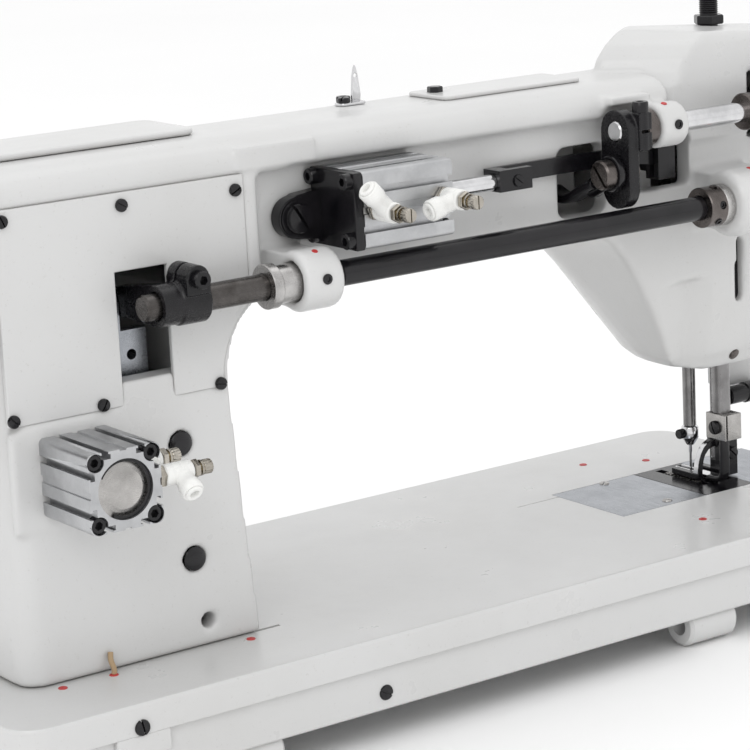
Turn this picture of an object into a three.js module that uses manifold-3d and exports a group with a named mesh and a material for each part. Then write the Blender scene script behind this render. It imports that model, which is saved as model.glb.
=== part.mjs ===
// A long-arm, heavy-duty leather sewing machine head with two air cylinders.
// Millimetres, +Z up. X runs along the arm from the handwheel to the needle, -Y is the rear side
// with the rocking shafts and cylinders, +Y is the operator's side, and z = 0 is the bed surface
// until the whole machine is moved so that the middle of its underside is the origin.
import * as THREE from "three";
import { mergeVertices } from "three/addons/utils/BufferGeometryUtils.js";
import Module from "manifold-3d";

const wasm = await Module();
wasm.setup();

// ---------------------------------------------------------------- driving dimensions
const GAP = 0.3; // clearance between pieces that touch on the real machine
const BED = { length: 656, width: 250, lip: 18.4, radius: 20, inset: 3.5, bottom: -44.8 };
const DECK = 12; // thickness of the bed's top wall
const BED_WALL = 9;
const LUG = { z: -52, radius: 13, bore: 6, y: 18, x: [148, 487], length: 38 };
const REAR = 57; // y of the pillar's rear face and of the arm's top bead
const RECESS = 68; // y of the arm's recessed rear face
const FRONT = 188; // y of the arm's front face
const ARM_TOP = 284;
const ARM_BOTTOM = 197;
const HEAD_BOTTOM = 87;
const HEAD_TOP = 309;
const HEAD_END = 650;
const HUMP_CORNER = 108; // y where the chamfer of the head's top begins
const PILLAR_LEFT = 36;
const WINDOW = { x0: 109, x1: 141.5, z0: 157, z1: 221 };
const COVER = { x0: 38.5, x1: 194, z0: 147, z1: 264, thick: 3.5 };
const ROCK = { y: 38, z: 203, radius: 7.5 }; // feed rocking shaft
const WALK = { y: 45, z: 257, radius: 6.3 }; // presser walking shaft
const MAIN = { y: 125, z: 240, radius: 9 }; // upper main shaft
const LOWER = { y: 104, z: -32, radius: 7 }; // lower shaft
const NEEDLE = { x: 586, y: 137.5 };
const WALK_BAR = { x: 586, y: 106, radius: 6.3 };
const PRESSER = { x: 599, y: 124, radius: 5 };
const CYLINDER = 44; // square body of both air cylinders
const BOLT_PITCH = 34;
const TACK = { x: 76.5, z: 117 }; // axis of the back-tack cylinder
const LIFT = { y: 46, z: 238.5 }; // axis of the foot-lift cylinder
const CRANK = { x: 502, z: 262 }; // pivot of the foot-lift bell crank
const LEVER_SCREW_Z = 232; // shoulder screw in the walking lever's lower end
const FRONT_LEVER = { x0: 582, x1: 596 };
const HOOK = { x: 608, y: 137.5 };
const PLATE = { y0: 91, y1: 164, thick: 2.7 };
const ROUND = 14; // sides of an ordinary round piece

// ---------------------------------------------------------------- solids
function solid(geometry) {
  const plain = new THREE.BufferGeometry();
  plain.setAttribute("position", geometry.getAttribute("position").clone());
  plain.setIndex(geometry.index ? geometry.index.clone() : null);
  const merged = mergeVertices(plain, 1e-4);
  const vertProperties = new Float32Array(merged.attributes.position.array);
  const triVerts = new Uint32Array(merged.index.array);
  return new wasm.Manifold(new wasm.Mesh({ numProp: 3, vertProperties, triVerts }));
}

function join(first, ...others) {
  return others.reduce((sum, next) => sum.add(next), first);
}

function cut(body, ...tools) {
  return tools.reduce((rest, tool) => rest.subtract(tool), body);
}

function mesh(name, body, material) {
  const { vertProperties, triVerts } = body.getMesh();
  const geometry = new THREE.BufferGeometry();
  geometry.setAttribute("position", new THREE.BufferAttribute(vertProperties, 3));
  geometry.setIndex(new THREE.BufferAttribute(triVerts, 1));
  geometry.computeVertexNormals();
  const result = new THREE.Mesh(geometry, material.clone());
  result.name = name;
  return result;
}

function box(x0, x1, y0, y1, z0, z1) {
  const geometry = new THREE.BoxGeometry(x1 - x0, y1 - y0, z1 - z0);
  geometry.translate((x0 + x1) / 2, (y0 + y1) / 2, (z0 + z1) / 2);
  return solid(geometry);
}

// Turns a geometry made along +Z so that it runs along the named axis.
// A point (a, b) of the section lands on (y, z) for x, on (x, z) for y, and on (x, y) for z.
const TURN = {
  x: new THREE.Matrix4().set(0, 0, 1, 0, 1, 0, 0, 0, 0, 1, 0, 0, 0, 0, 0, 1),
  y: new THREE.Matrix4().set(1, 0, 0, 0, 0, 0, -1, 0, 0, 1, 0, 0, 0, 0, 0, 1),
  z: new THREE.Matrix4(),
};

function along(axis, geometry, from, to) {
  geometry.applyMatrix4(TURN[axis]);
  if (axis === "x") geometry.translate(from, 0, 0);
  if (axis === "y") geometry.translate(0, to, 0);
  if (axis === "z") geometry.translate(0, 0, from);
  return solid(geometry);
}

// A prism of a section, either a list of [a, b] points or a THREE.Shape.
function prism(axis, section, from, to, curveSegments = 5) {
  const shape = Array.isArray(section)
    ? new THREE.Shape(section.map(([a, b]) => new THREE.Vector2(a, b)))
    : section;
  const depth = to - from;
  return along(
    axis,
    new THREE.ExtrudeGeometry(shape, { depth, bevelEnabled: false, curveSegments }),
    from,
    to,
  );
}

// A rod along an axis through the point (a, b) of the other two.
function rod(axis, a, b, radius, from, to, sides = ROUND) {
  const points = [];
  for (let i = 0; i < sides; i += 1) {
    const angle = (2 * Math.PI * (i + 0.5)) / sides;
    points.push([a + radius * Math.cos(angle), b + radius * Math.sin(angle)]);
  }
  return prism(axis, points, from, to);
}

// A turned piece: profile points are [radius, distance along the axis], bottom to top.
function turned(axis, a, b, profile, sides = ROUND) {
  const points = profile.map(([r, h]) => new THREE.Vector2(r, h));
  const geometry = new THREE.LatheGeometry(points, sides);
  geometry.rotateX(Math.PI / 2);
  if (axis === "x") geometry.rotateY(Math.PI / 2).translate(0, a, b);
  if (axis === "y") geometry.rotateX(-Math.PI / 2).translate(a, 0, b);
  if (axis === "z") geometry.translate(a, b, 0);
  return solid(geometry);
}

function roundedShape(x0, x1, y0, y1, radius) {
  const shape = new THREE.Shape();
  shape.moveTo(x0 + radius, y0);
  shape.lineTo(x1 - radius, y0);
  shape.absarc(x1 - radius, y0 + radius, radius, -Math.PI / 2, 0);
  shape.lineTo(x1, y1 - radius);
  shape.absarc(x1 - radius, y1 - radius, radius, 0, Math.PI / 2);
  shape.lineTo(x0 + radius, y1);
  shape.absarc(x0 + radius, y1 - radius, radius, Math.PI / 2, Math.PI);
  shape.lineTo(x0, y0 + radius);
  shape.absarc(x0 + radius, y0 + radius, radius, Math.PI, 1.5 * Math.PI);
  return shape;
}

// One level of a lofted body: a rectangle whose corners have their own radii. It can tilt down
// towards +X, and with a single step its corners are flat chamfers.
function ring({ x0, x1, y0, y1, rear, front, end = 6, z, tilt = 0 }, steps) {
  const corners = [
    [x1 - end, y0 + end, end, -90],
    [x1 - end, y1 - end, end, 0],
    [x0 + front, y1 - front, front, 90],
    [x0 + rear, y0 + rear, rear, 180],
  ];
  const points = [];
  for (const [cx, cy, r, start] of corners)
    for (let i = 0; i <= steps; i += 1) {
      const angle = THREE.MathUtils.degToRad(start + (90 * i) / steps);
      const x = cx + r * Math.cos(angle);
      points.push([x, cy + r * Math.sin(angle), z - tilt * (x - x0)]);
    }
  return points;
}

// Skins a stack of equal rings and closes both ends.
function loft(levels, steps) {
  const rings = levels.map((level) => ring(level, steps));
  const count = rings[0].length;
  const positions = rings.flat(2);
  const index = [];
  for (let k = 0; k + 1 < rings.length; k += 1)
    for (let i = 0; i < count; i += 1) {
      const j = (i + 1) % count;
      const [a, b] = [k * count + i, k * count + j];
      const [c, d] = [a + count, b + count];
      index.push(a, b, d, a, d, c);
    }
  const top = (rings.length - 1) * count;
  for (let i = 1; i + 1 < count; i += 1) {
    index.push(0, i + 1, i);
    index.push(top, top + i, top + i + 1);
  }
  const geometry = new THREE.BufferGeometry();
  geometry.setAttribute("position", new THREE.Float32BufferAttribute(positions, 3));
  geometry.setIndex(index);
  return solid(geometry);
}

// A bent piece of constant section along a smooth line through the given points.
function bent(points, section, steps) {
  const path = new THREE.CatmullRomCurve3(points.map((p) => new THREE.Vector3(...p)));
  const shape = new THREE.Shape(section.map(([a, b]) => new THREE.Vector2(a, b)));
  return solid(new THREE.ExtrudeGeometry(shape, { steps, extrudePath: path }));
}

// ---------------------------------------------------------------- materials
function finish(color, roughness, metalness) {
  return new THREE.MeshStandardMaterial({ color, roughness, metalness });
}
const PAINT = finish(0xdcdcda, 0.35, 0);
const BLACK = finish(0x17171a, 0.45, 0.6);
const STEEL = finish(0xa9a6a2, 0.3, 1);
const BRIGHT = finish(0xd5d5d8, 0.18, 1);
const ALUMINIUM = finish(0xc9cbcf, 0.4, 1);
const WHITE_PLASTIC = finish(0xeeeeea, 0.4, 0);
const BRASS = finish(0xb59a62, 0.35, 1);
const RUBBER = finish(0x202020, 0.8, 0);

// ---------------------------------------------------------------- bed
function bedCasting() {
  const { length, width, lip, radius, inset, bottom } = BED;
  const wall = inset + BED_WALL;
  let bed = join(
    prism("z", roundedShape(0, length, 0, width, radius), -lip, 0, 4),
    prism(
      "z",
      roundedShape(inset, length - inset, inset, width - inset, radius - inset),
      bottom,
      -lip + 1,
      3,
    ),
    box(58, 92, 0, 6, -31, -lip + 1),
  );
  bed = cut(bed, box(wall, length - wall, wall, width - wall, bottom - 1, -DECK));
  for (const x of [96, 300, 560])
    bed = join(bed, box(x, x + 12, LOWER.y - 20, LOWER.y + 20, bottom + 1, -DECK + 1));
  for (const x of LUG.x) {
    const [x0, x1] = [x - LUG.length / 2, x + LUG.length / 2];
    for (const y of [LUG.y, width - LUG.y]) {
      const web = box(x0, x1, y - 9, y + 9, LUG.z, bottom + 12);
      bed = join(bed, rod("x", y, LUG.z, LUG.radius, x0, x1), web);
      bed = cut(bed, rod("x", y, LUG.z, LUG.bore, x0 - 1, x1 + 1, 12));
    }
  }
  return cut(
    bed,
    rod("x", LOWER.y, LOWER.z, LOWER.radius + GAP, 90, 580),
    box(486.7, length + 1, PLATE.y0 - GAP, PLATE.y1 + GAP, -PLATE.thick - GAP, 1),
    box(572, 638, 97, 160, -DECK - 1, 0), // room for the hook and the feed dog
    box(50, 92, 70, 158, -DECK - 1, 1), // belt passage under the pillar
    box(185, 202, 58.6, 61.4, -DECK - 1, 1),
    box(442, 488, 156, 157.2, -0.8, 1),
    rod("y", 235.2, -34.5, 4.2, -1, wall + 1, 12),
  );
}

// ---------------------------------------------------------------- arm, pillar and head
function pillarOutline() {
  const outline = new THREE.Shape();
  outline.moveTo(PILLAR_LEFT, GAP);
  outline.lineTo(188, GAP);
  outline.lineTo(182, 68);
  outline.lineTo(176.7, 144);
  outline.bezierCurveTo(176, 160, 180, 197, 222, ARM_BOTTOM);
  outline.lineTo(222, ARM_TOP);
  outline.lineTo(PILLAR_LEFT + 12, ARM_TOP);
  outline.bezierCurveTo(PILLAR_LEFT + 4, ARM_TOP, PILLAR_LEFT, 280, PILLAR_LEFT, 270);
  return outline;
}

// Cross-section of the arm in (y, z); rear is the y of its rear face below the bead.
function armSection(rear, bottom) {
  const section = new THREE.Shape();
  section.moveTo(rear, bottom);
  section.lineTo(rear, 262.5);
  section.lineTo(REAR, 265.5);
  section.lineTo(REAR, 269);
  section.bezierCurveTo(REAR, 279, 66, ARM_TOP, 76, ARM_TOP);
  section.lineTo(122, ARM_TOP);
  section.bezierCurveTo(165, 281, FRONT, 250, FRONT, 218);
  section.lineTo(FRONT, bottom + 6);
  section.lineTo(FRONT - 6, bottom);
  return section;
}

function headBody() {
  const lower = [
    { z: HEAD_BOTTOM, x0: 549, y0: 80, y1: 172, front: 70 },
    { z: 93, x0: 525, y0: 78, y1: 176, front: 82 },
    { z: 99, x0: 518, y0: 75, y1: 180, front: 82 },
    { z: 120, x0: 506, y0: 72, y1: 184, front: 77 },
    { z: 140, x0: 495, y0: RECESS, y1: 186, front: 66 },
    { z: 165, x0: 481, y0: RECESS, y1: FRONT, front: 48 },
    { z: 182, x0: 468, y0: RECESS, y1: FRONT },
    { z: 190, x0: 455, y0: RECESS, y1: FRONT },
    { z: ARM_BOTTOM, x0: 436, y0: RECESS, y1: FRONT },
    { z: 262, x0: 430, y0: RECESS, y1: FRONT },
  ].map((level) => ({ x1: HEAD_END, rear: 5, front: 42, ...level }));
  const hump = [
    { z: 240, x0: 470, y0: 66, y1: FRONT },
    { z: 276, x0: 480, y0: 66, y1: 185 },
    { z: 283, x0: 486.5, y0: 66, y1: 180 },
    { z: 292, x0: 490.5, y0: 67, y1: 169 },
    { z: 301, x0: 498.5, y0: 68, y1: 158, tilt: 0.04 },
    { z: HEAD_TOP - 3, x0: 505.5, y0: 68.5, y1: 147, tilt: 0.07 },
    { z: HEAD_TOP, x0: 511.5, y0: 69.5, y1: 138, tilt: 0.08 },
  ].map((level) => ({ ...level, x1: HEAD_END, rear: 37, front: level.y1 - HUMP_CORNER }));
  return join(loft(lower, 3), loft(hump, 1));
}

function armCasting() {
  const pillar = prism("y", pillarOutline(), REAR, FRONT, 5)
    .intersect(prism("x", armSection(REAR, 0), 0, 300, 4))
    .intersect(prism("z", roundedShape(PILLAR_LEFT, 300, REAR, FRONT, 14), -1, 400, 3));
  const recess = box(203, 240, REAR - 1, RECESS, 150, 262.5);
  const arm = prism("x", armSection(RECESS, ARM_BOTTOM), 180, 505, 4);
  const shoulder = box(190, 242, 56, 80, 265.5, 279);
  const pad = rod("z", 302, 108, 11, 270, ARM_TOP + 1.5, 12);
  const rockBossLeft = join(
    rod("x", ROCK.y, ROCK.z, 17.5, 209, 235),
    box(209, 235, ROCK.y, RECESS + 4, ROCK.z - 16, ROCK.z + 16),
  );
  const rockBossRight = join(
    rod("x", ROCK.y, ROCK.z, 21, 530, 576),
    box(530, 576, ROCK.y, RECESS + 4, ROCK.z - 19, ROCK.z + 19),
  );
  const walkBoss = join(
    rod("x", WALK.y, WALK.z, 13.8, 478.5, 500),
    box(480, 499, WALK.y, RECESS + 4, WALK.z - 9, WALK.z + 13),
    box(453, 482, 50, 80, 271, 277),
    rod("x", WALK.y, WALK.z, 14, 602, 628),
    box(604, 626, WALK.y, RECESS + 4, WALK.z - 9, WALK.z + 13),
  );
  const land = box(WINDOW.x0 + GAP, WINDOW.x1 - GAP, REAR, REAR + 6, COVER.z0 - 1, WINDOW.z0);
  const guard = box(614, 640, 134, 150, 55, HEAD_BOTTOM + 3); // lug beside the presser bar
  const bosses = join(rockBossLeft, rockBossRight, walkBoss, guard);
  const whole = join(cut(pillar, recess), arm, shoulder, pad, headBody(), bosses);
  const hollow = join(
    box(50, 160, 72, 156, -1, 268), // inside the pillar
    box(150, 500, 80, 150, 203, 262), // inside the arm
    box(524, 562, 84, 136, 112, 142), // inside the head's lower corner
    box(524, HEAD_END + 1, 84, 164, 140, 262), // inside the head
    box(560, HEAD_END + 1, 84, 164, 112, 142),
    box(560, HEAD_END + 1, 84, 152, 260, 292), // inside the hump
    box(486, 556, 80, 98, 205, 277), // bell crank chamber
    box(514, 562, 85, 97, 270, 283), // room above the bell crank for its swing
    box(530, 562, 85, 97, 270, 289),
  );
  const openings = join(
    box(52, 165, REAR - 1, 73, 160, 252), // behind the rear cover
    box(424, 462, 60, 82, 204, 248), // crank opening in the arm
    box(486, 530, 60, 86, 213, 246), // bell crank opening
    box(566, 570.5, 60, 86, 133, 172), // slit behind the needle bar
    box(575, 607, 86, 150, 80, 114), // exit of the needle, walking and presser bars
    box(FRONT_LEVER.x0 - 4, FRONT_LEVER.x1 + 4, 60, 86, 236, 278),
  );
  const web = box(418, 470, 108, 152, 202, 263); // cross wall behind the crank opening
  return cut(
    join(cut(whole, hollow, openings, coverSolid(GAP)), land, web),
    rod("x", ROCK.y, ROCK.z, 10.8 + GAP, 200, 240),
    rod("x", ROCK.y, ROCK.z, ROCK.radius + GAP, 500, 600),
    rod("x", WALK.y, WALK.z, WALK.radius + GAP, 470, 640),
    rod("x", MAIN.y, MAIN.z, MAIN.radius + GAP, 20, 560),
    rod("z", PRESSER.x, PRESSER.y, 6.5, 290, 320, 12),
    rod("y", 143, 119.5, 6.6, REAR - 1, REAR + 16, 12),
    rod("y", 147, 52.2, 6.6, REAR - 1, REAR + 16, 12),
    rod("y", 154, 14.4, 4.6, REAR - 1, REAR + 20, 12),
    rod("y", TACK.x, TACK.z, 6, REAR - 1, REAR + 30, 12),
    rod("y", CRANK.x, CRANK.z, 4.3, 76, 100, 12),
    rod("y", 112, 196, 5.4, 165, FRONT + 1, 14),
    rod("y", 120, 110, 5.4, 165, FRONT + 1, 14),
    rod("y", 600, 246, 3.8, 165, FRONT + 1, 14),
    box(614, 634, 150, 192, 254, 292), // take-up lever's way out to the front
  );
}

// The rear cover's solid, grown by a clearance when it is used to cut its own seat.
function coverSolid(grow) {
  const { x0, x1, z0, z1, thick } = COVER;
  const edge = 173.5;
  const outline = new THREE.Shape();
  outline.moveTo(x0 - grow, z0 - grow);
  outline.lineTo(WINDOW.x0 + grow, z0 - grow);
  outline.lineTo(WINDOW.x0 + grow, WINDOW.z1 - grow);
  outline.lineTo(WINDOW.x1 - grow, WINDOW.z1 - grow);
  outline.lineTo(WINDOW.x1 - grow, z0 - grow);
  outline.lineTo(edge + grow, z0 - grow);
  outline.bezierCurveTo(edge + grow, 166, 180 + grow, 180, x1 + grow, 192);
  outline.lineTo(x1 + grow, z1 + grow);
  outline.lineTo(x0 - grow, z1 + grow);
  return prism("y", outline, grow ? REAR - 1 : REAR + 0.1, REAR + thick + grow, 4);
}

// ---------------------------------------------------------------- air cylinders
// A square extruded body along an axis, with a T-slot down the middle of three sides.
function cylinderBody(axis, a, b, from, to, sides) {
  const half = CYLINDER / 2;
  const shape = roundedShape(a - half, a + half, b - half, b + half, 4);
  let body = prism(axis, shape, from, to, 2);
  const slot = { mouth: 2.2, depth: 3.5 };
  const at = BOLT_PITCH / 2 - 6;
  for (const [da, db] of sides)
    for (const side of [-1, 1]) {
      const ca = a + da * half + (da ? 0 : side * at);
      const cb = b + db * half + (db ? 0 : side * at);
      const [wa, wb] = da ? [slot.depth, slot.mouth] : [slot.mouth, slot.depth];
      const groove = [
        [ca - wa, cb - wb],
        [ca + wa, cb - wb],
        [ca + wa, cb + wb],
        [ca - wa, cb + wb],
      ];
      body = cut(body, prism(axis, groove, from - 1, to + 1));
    }
  return body;
}

function tackCylinderBody() {
  const face = 3.9;
  const body = cylinderBody("y", TACK.x, TACK.z, face, REAR - GAP, [[-1, 0], [1, 0], [0, 1]]);
  const seat = join(
    rod("y", TACK.x, TACK.z, 5.4, 30, REAR + 1, 16),
    rod("y", TACK.x, TACK.z, 16, 12, 46, 18),
    rod("y", TACK.x, TACK.z, 16.8, face - 1, 8.5, 18),
  );
  return join(cut(body, seat, boltHoles()), rod("y", TACK.x, TACK.z, 12.5, 5.4, 9, 18));
}

function boltHoles() {
  const half = BOLT_PITCH / 2;
  const holes = [];
  for (const sx of [-1, 1])
    for (const sz of [-1, 1])
      holes.push(rod("y", TACK.x + sx * half, TACK.z + sz * half, 4.6, 2, 9, 10));
  return join(...holes);
}

function liftCylinderBody() {
  const body = cylinderBody("x", LIFT.y, LIFT.z, 251.3, 313, [[-1, 0], [0, 1], [0, -1]]);
  const gland = rod("x", LIFT.y, LIFT.z, 5.4, 280, 320);
  return cut(body, gland, rod("x", LIFT.y, LIFT.z, 15.4, 256, 308, 18));
}

function liftPistonRod() {
  return join(
    rod("x", LIFT.y, LIFT.z, 5, 268, 362, 14),
    rod("x", LIFT.y, LIFT.z, 14.8, 262, 270, 18),
  );
}

function tackPistonRod() {
  return join(
    rod("y", TACK.x, TACK.z, 5, 35, 78),
    rod("y", TACK.x, TACK.z, 15.2, 26, 36, 18),
  );
}

function liftBracket() {
  const plate = box(245, 251, 24, RECESS - GAP, LIFT.z - 22, LIFT.z + 22);
  const tongue = [
    [246, 222],
    [246, 247],
    [229, 245.5],
    [220, 241],
    [217.5, 234],
    [220, 227],
    [229, 222],
  ];
  const pad = prism("y", tongue, 58, RECESS - GAP);
  const screw = rod("y", 229, 234, 8.5, 53, 60);
  return cut(join(plate, pad, screw), box(219, 239, 52, 54.5, 233, 235));
}

// Push-in elbow with a metering screw: a nut and a body straight out of the cylinder's port, and
// a branch for the air pipe that leaves the body at its knee.
function elbow({ port, out, branch }, reach) {
  const at = placeAlong(port, out);
  const release = at(reach.knee).add(new THREE.Vector3(...branch));
  return join(
    between(at(GAP), at(6), 6, 6),
    between(at(5), at(reach.body), 5.8),
    between(at(reach.knee), release, 6.3),
  );
}

// Gives the point at a distance from the port along the fitting's axis.
function placeAlong(port, out) {
  const start = new THREE.Vector3(...port);
  const direction = new THREE.Vector3(...out);
  return (distance) => start.clone().addScaledVector(direction, distance);
}

// A rod between two points.
function between(a, b, radius, sides = 12) {
  const span = b.clone().sub(a);
  const geometry = new THREE.CylinderGeometry(radius, radius, span.length(), sides);
  geometry.applyQuaternion(
    new THREE.Quaternion().setFromUnitVectors(new THREE.Vector3(0, 1, 0), span.normalize()),
  );
  const middle = a.clone().add(b).multiplyScalar(0.5);
  geometry.translate(middle.x, middle.y, middle.z);
  return solid(geometry);
}

// Metering knob beyond the end of an elbow, on the same axis.
function flowKnob({ port, out }, reach) {
  const at = placeAlong(port, out);
  const middle = (reach.body + reach.knob) / 2;
  return join(
    between(at(reach.body + GAP), at(middle), 4.8, 6),
    between(at(middle - 0.5), at(reach.knob), 3.6),
  );
}

// ---------------------------------------------------------------- levers and shafts
function lever(axis, hub, end, hubRadius, endRadius, from, to) {
  const [ha, hb] = hub;
  const [ea, eb] = end;
  const angle = Math.atan2(eb - hb, ea - ha);
  const side = angle + Math.PI / 2;
  const corner = (a, b, r, s) => [a + s * r * Math.cos(side), b + s * r * Math.sin(side)];
  const web = [
    corner(ha, hb, hubRadius * 0.9, -1),
    corner(ea, eb, endRadius * 0.9, -1),
    corner(ea, eb, endRadius * 0.9, 1),
    corner(ha, hb, hubRadius * 0.9, 1),
  ];
  return join(
    prism(axis, web, from, to),
    rod(axis, ha, hb, hubRadius, from, to),
    rod(axis, ea, eb, endRadius, from, to),
  );
}

function rockClampLever() {
  const clamp = join(
    rod("x", ROCK.y, ROCK.z, 12.5, 122, 151),
    box(134, 150, ROCK.y - 14, ROCK.y + 2, ROCK.z + 6, ROCK.z + 17),
    lever("x", [ROCK.y, ROCK.z], [86, 200], 11, 7.5, 122, 133),
    rod("x", 86, 200, 4, 111, 124, 12),
  );
  return cut(
    clamp,
    rod("x", ROCK.y, ROCK.z, ROCK.radius + GAP, 100, 160),
    box(133.5, 152, ROCK.y - 1, ROCK.y + 1, ROCK.z, ROCK.z + 20),
  );
}

function feedLink() {
  const link = join(
    box(113, 137, 77, 86, 22, 184),
    box(113, 121, 77, 93, 170, 200),
    rod("x", 86, 200, 8, 113, 121),
  );
  return cut(link, rod("x", 86, 200, 4.4, 105, 125, 12), rod("y", 127, 170, 3, 70, 90, 10));
}

function walkLever() {
  const body = join(
    lever("x", [WALK.y, WALK.z], [WALK.y, 223], 13, 13, 451, 459),
    box(458, 468, WALK.y - 16, WALK.y - 4, WALK.z - 12, WALK.z + 12),
    rod("x", WALK.y, WALK.z, 11, 458, 468),
  );
  return cut(
    body,
    rod("x", WALK.y, WALK.z, WALK.radius + GAP, 440, 480),
    rod("x", WALK.y, LEVER_SCREW_Z, 5.3, 440, 470, 14),
    box(459, 480, WALK.y - 20, WALK.y - 2, WALK.z - 0.8, WALK.z + 0.8),
  );
}

// The walking shaft carries a steel collar on each side of its left-hand bearing.
function walkShaft() {
  return join(
    rod("x", WALK.y, WALK.z, WALK.radius, 450.6, 632),
    rod("x", WALK.y, WALK.z, 11.5, 468.3, 478.2),
    rod("x", WALK.y, WALK.z, 11.5, 554, 564),
  );
}

function shoulderScrew() {
  const body = turned("x", WALK.y, LEVER_SCREW_Z, [
    [0, 438],
    [8.4, 438],
    [9, 438.8],
    [9, 445],
    [5, 445],
    [5, 466],
    [0, 466],
  ]);
  const slot = box(437, 440, WALK.y - 12, WALK.y + 12, LEVER_SCREW_Z - 0.8, LEVER_SCREW_Z + 0.8);
  return cut(body, slot);
}

function walkCrank() {
  const section = [
    [-3, -7],
    [3, -7],
    [3, 7],
    [-3, 7],
  ];
  const path = [
    [448, 58, 224.5],
    [446, 68, 220],
    [443.5, 78, 214.5],
    [443, 87, 214.5],
    [443, 97, 218],
  ];
  const pivot = [WALK.y, LEVER_SCREW_Z];
  const eye = rod("x", ...pivot, 11, 445.4, 450.6, 18);
  const arm = bent(path, section, 12);
  const neck = lever("x", pivot, [62, 222.5], 8, 6.5, 445.4, 450.6);
  return cut(join(eye, neck, arm), rod("x", ...pivot, 5.4, 440, 456, 14));
}

function walkFrontLever() {
  const { x0, x1 } = FRONT_LEVER;
  const body = lever("x", [WALK.y, WALK.z], [91, WALK.z], 12, 7, x0, x1);
  return cut(body, rod("x", WALK.y, WALK.z, WALK.radius + GAP, x0 - 1, x1 + 1));
}

function bellCrank() {
  const body = join(
    box(496, 509.5, 58, 70, 220.5, 240.5),
    box(496, 508, 68, 94, 225, 240.5),
    lever("y", [CRANK.x, CRANK.z], [CRANK.x, 232], 9, 7, 86, 94),
    lever("y", [CRANK.x, CRANK.z], [546, CRANK.z], 9, 6, 86, 94),
    rod("y", CRANK.x, CRANK.z, 4, 78, 88, 12),
  );
  return cut(body, box(495, 507, 62.2, 66, 220, 241));
}

function liftLink() {
  const outline = [
    [372, 233.5],
    [470, 233],
    [500, 229],
    [503.5, 232],
    [503.5, 237],
    [500, 240],
    [470, 243],
    [440, 243.5],
    [372, 243.5],
    [369, 238.5],
  ];
  const bar = prism("y", outline, 62.6, 65.6);
  const foot = box(368, 376, 47, 65.6, 233.5, 243.5);
  return join(bar, foot, rod("y", 371.5, LIFT.z, 5.5, 44, 50, 14));
}

function rodClevis() {
  const block = box(358, 382, 38.5, 54, LIFT.z - 5.5, LIFT.z + 7.2);
  return cut(
    block,
    box(366, 383, 43.5, 58, LIFT.z - 9, LIFT.z + 9),
    rod("x", LIFT.y, LIFT.z, 5.3, 350, 367, 16),
  );
}

// ---------------------------------------------------------------- stitch mechanism
function needleBarFrame() {
  const plate = box(575.6, 578.4, 96, 150, 116, 286);
  const window = box(570, 580, 104, 142, 140, 208);
  const upper = 215;
  const lower = 118;
  const blocks = [];
  for (const z of [lower, upper]) {
    blocks.push(box(578, 593.5, 129, 146, z, z + 14));
    blocks.push(box(578, 593.5, 96, 115, z, z + 14));
  }
  return cut(
    join(cut(plate, window), ...blocks, rod("x", MAIN.y, 282, 6, 572, 592)),
    rod("z", NEEDLE.x, NEEDLE.y, 4.4 + GAP, 100, 240),
    rod("z", WALK_BAR.x, WALK_BAR.y, WALK_BAR.radius + GAP, 100, 240),
  );
}

function needleBar() {
  return rod("z", NEEDLE.x, NEEDLE.y, 4.4, 34, 246);
}

function needleClamp() {
  const body = turned("z", NEEDLE.x, NEEDLE.y, [
    [0, 21],
    [2.6, 21],
    [5.6, 25],
    [5.9, 33.7],
    [0, 33.7],
  ]);
  const screw = rod("x", NEEDLE.y, 29.5, 3.2, NEEDLE.x - 10.5, NEEDLE.x, 12);
  return cut(join(body, screw), rod("z", NEEDLE.x, NEEDLE.y, 1.5, 20, 28, 8));
}

function needle() {
  return turned(
    "z",
    NEEDLE.x,
    NEEDLE.y,
    [
      [0, -7],
      [0.5, -5],
      [0.9, 0],
      [0.9, 15],
      [1.2, 16],
      [1.2, 27.6],
      [0, 27.6],
    ],
    8,
  );
}

function walkingFoot() {
  const { x, y, radius } = WALK_BAR;
  const block = join(
    box(x - 7.5, x + 7, 94, 113, 31.5, 49),
    rod("x", 103, 40, 4.5, x - 10.4, x - 7, 12),
  );
  const shank = box(x - 4, x - 0.4, 97.5, 105, 3, 33);
  const sole = cut(
    box(x - 4, x + 4, 97.5, 150, 1.2, 4.4),
    box(x - 0.4, x + 5, 96, 118, 0, 6),
    box(x - 2.2, x + 2.2, 130, 151, 0, 6), // fork around the needle
  );
  return cut(join(block, shank, sole), rod("z", x, y, radius + GAP, 36, 50));
}

function presserBar() {
  const { x, y, radius } = PRESSER;
  return join(
    rod("z", x, y, radius, 12.4, 262),
    rod("x", y, 52.5, 3.6, x + 3, x + 12, 12),
    rod("x", y, 52.5, 7, x + 8.6, x + 42, 14),
  );
}

function presserFoot() {
  const { x, y, radius } = PRESSER;
  const arch = new THREE.Shape();
  arch.moveTo(576.5, 1.2);
  arch.lineTo(580.8, 1.2);
  arch.bezierCurveTo(580.9, 12, 581.8, 18, 588, 21);
  arch.lineTo(595, 22);
  arch.lineTo(595, 27);
  arch.lineTo(592, 27);
  arch.bezierCurveTo(580, 25, 576.5, 14, 576.5, 1.2);
  const body = join(
    prism("y", arch, 119.5, 124.5, 5),
    box(593.6, 606, 113, 127, 1.2, 25),
    box(593.6, 599, 113, 145, 1.2, 5),
    box(575.5, 580.8, 120, 145, 1.2, 5),
    rod("z", x, y, 7.5, 24, 31, 16),
  );
  return cut(body, rod("z", x, y, radius + GAP, 12, 50));
}

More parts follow.
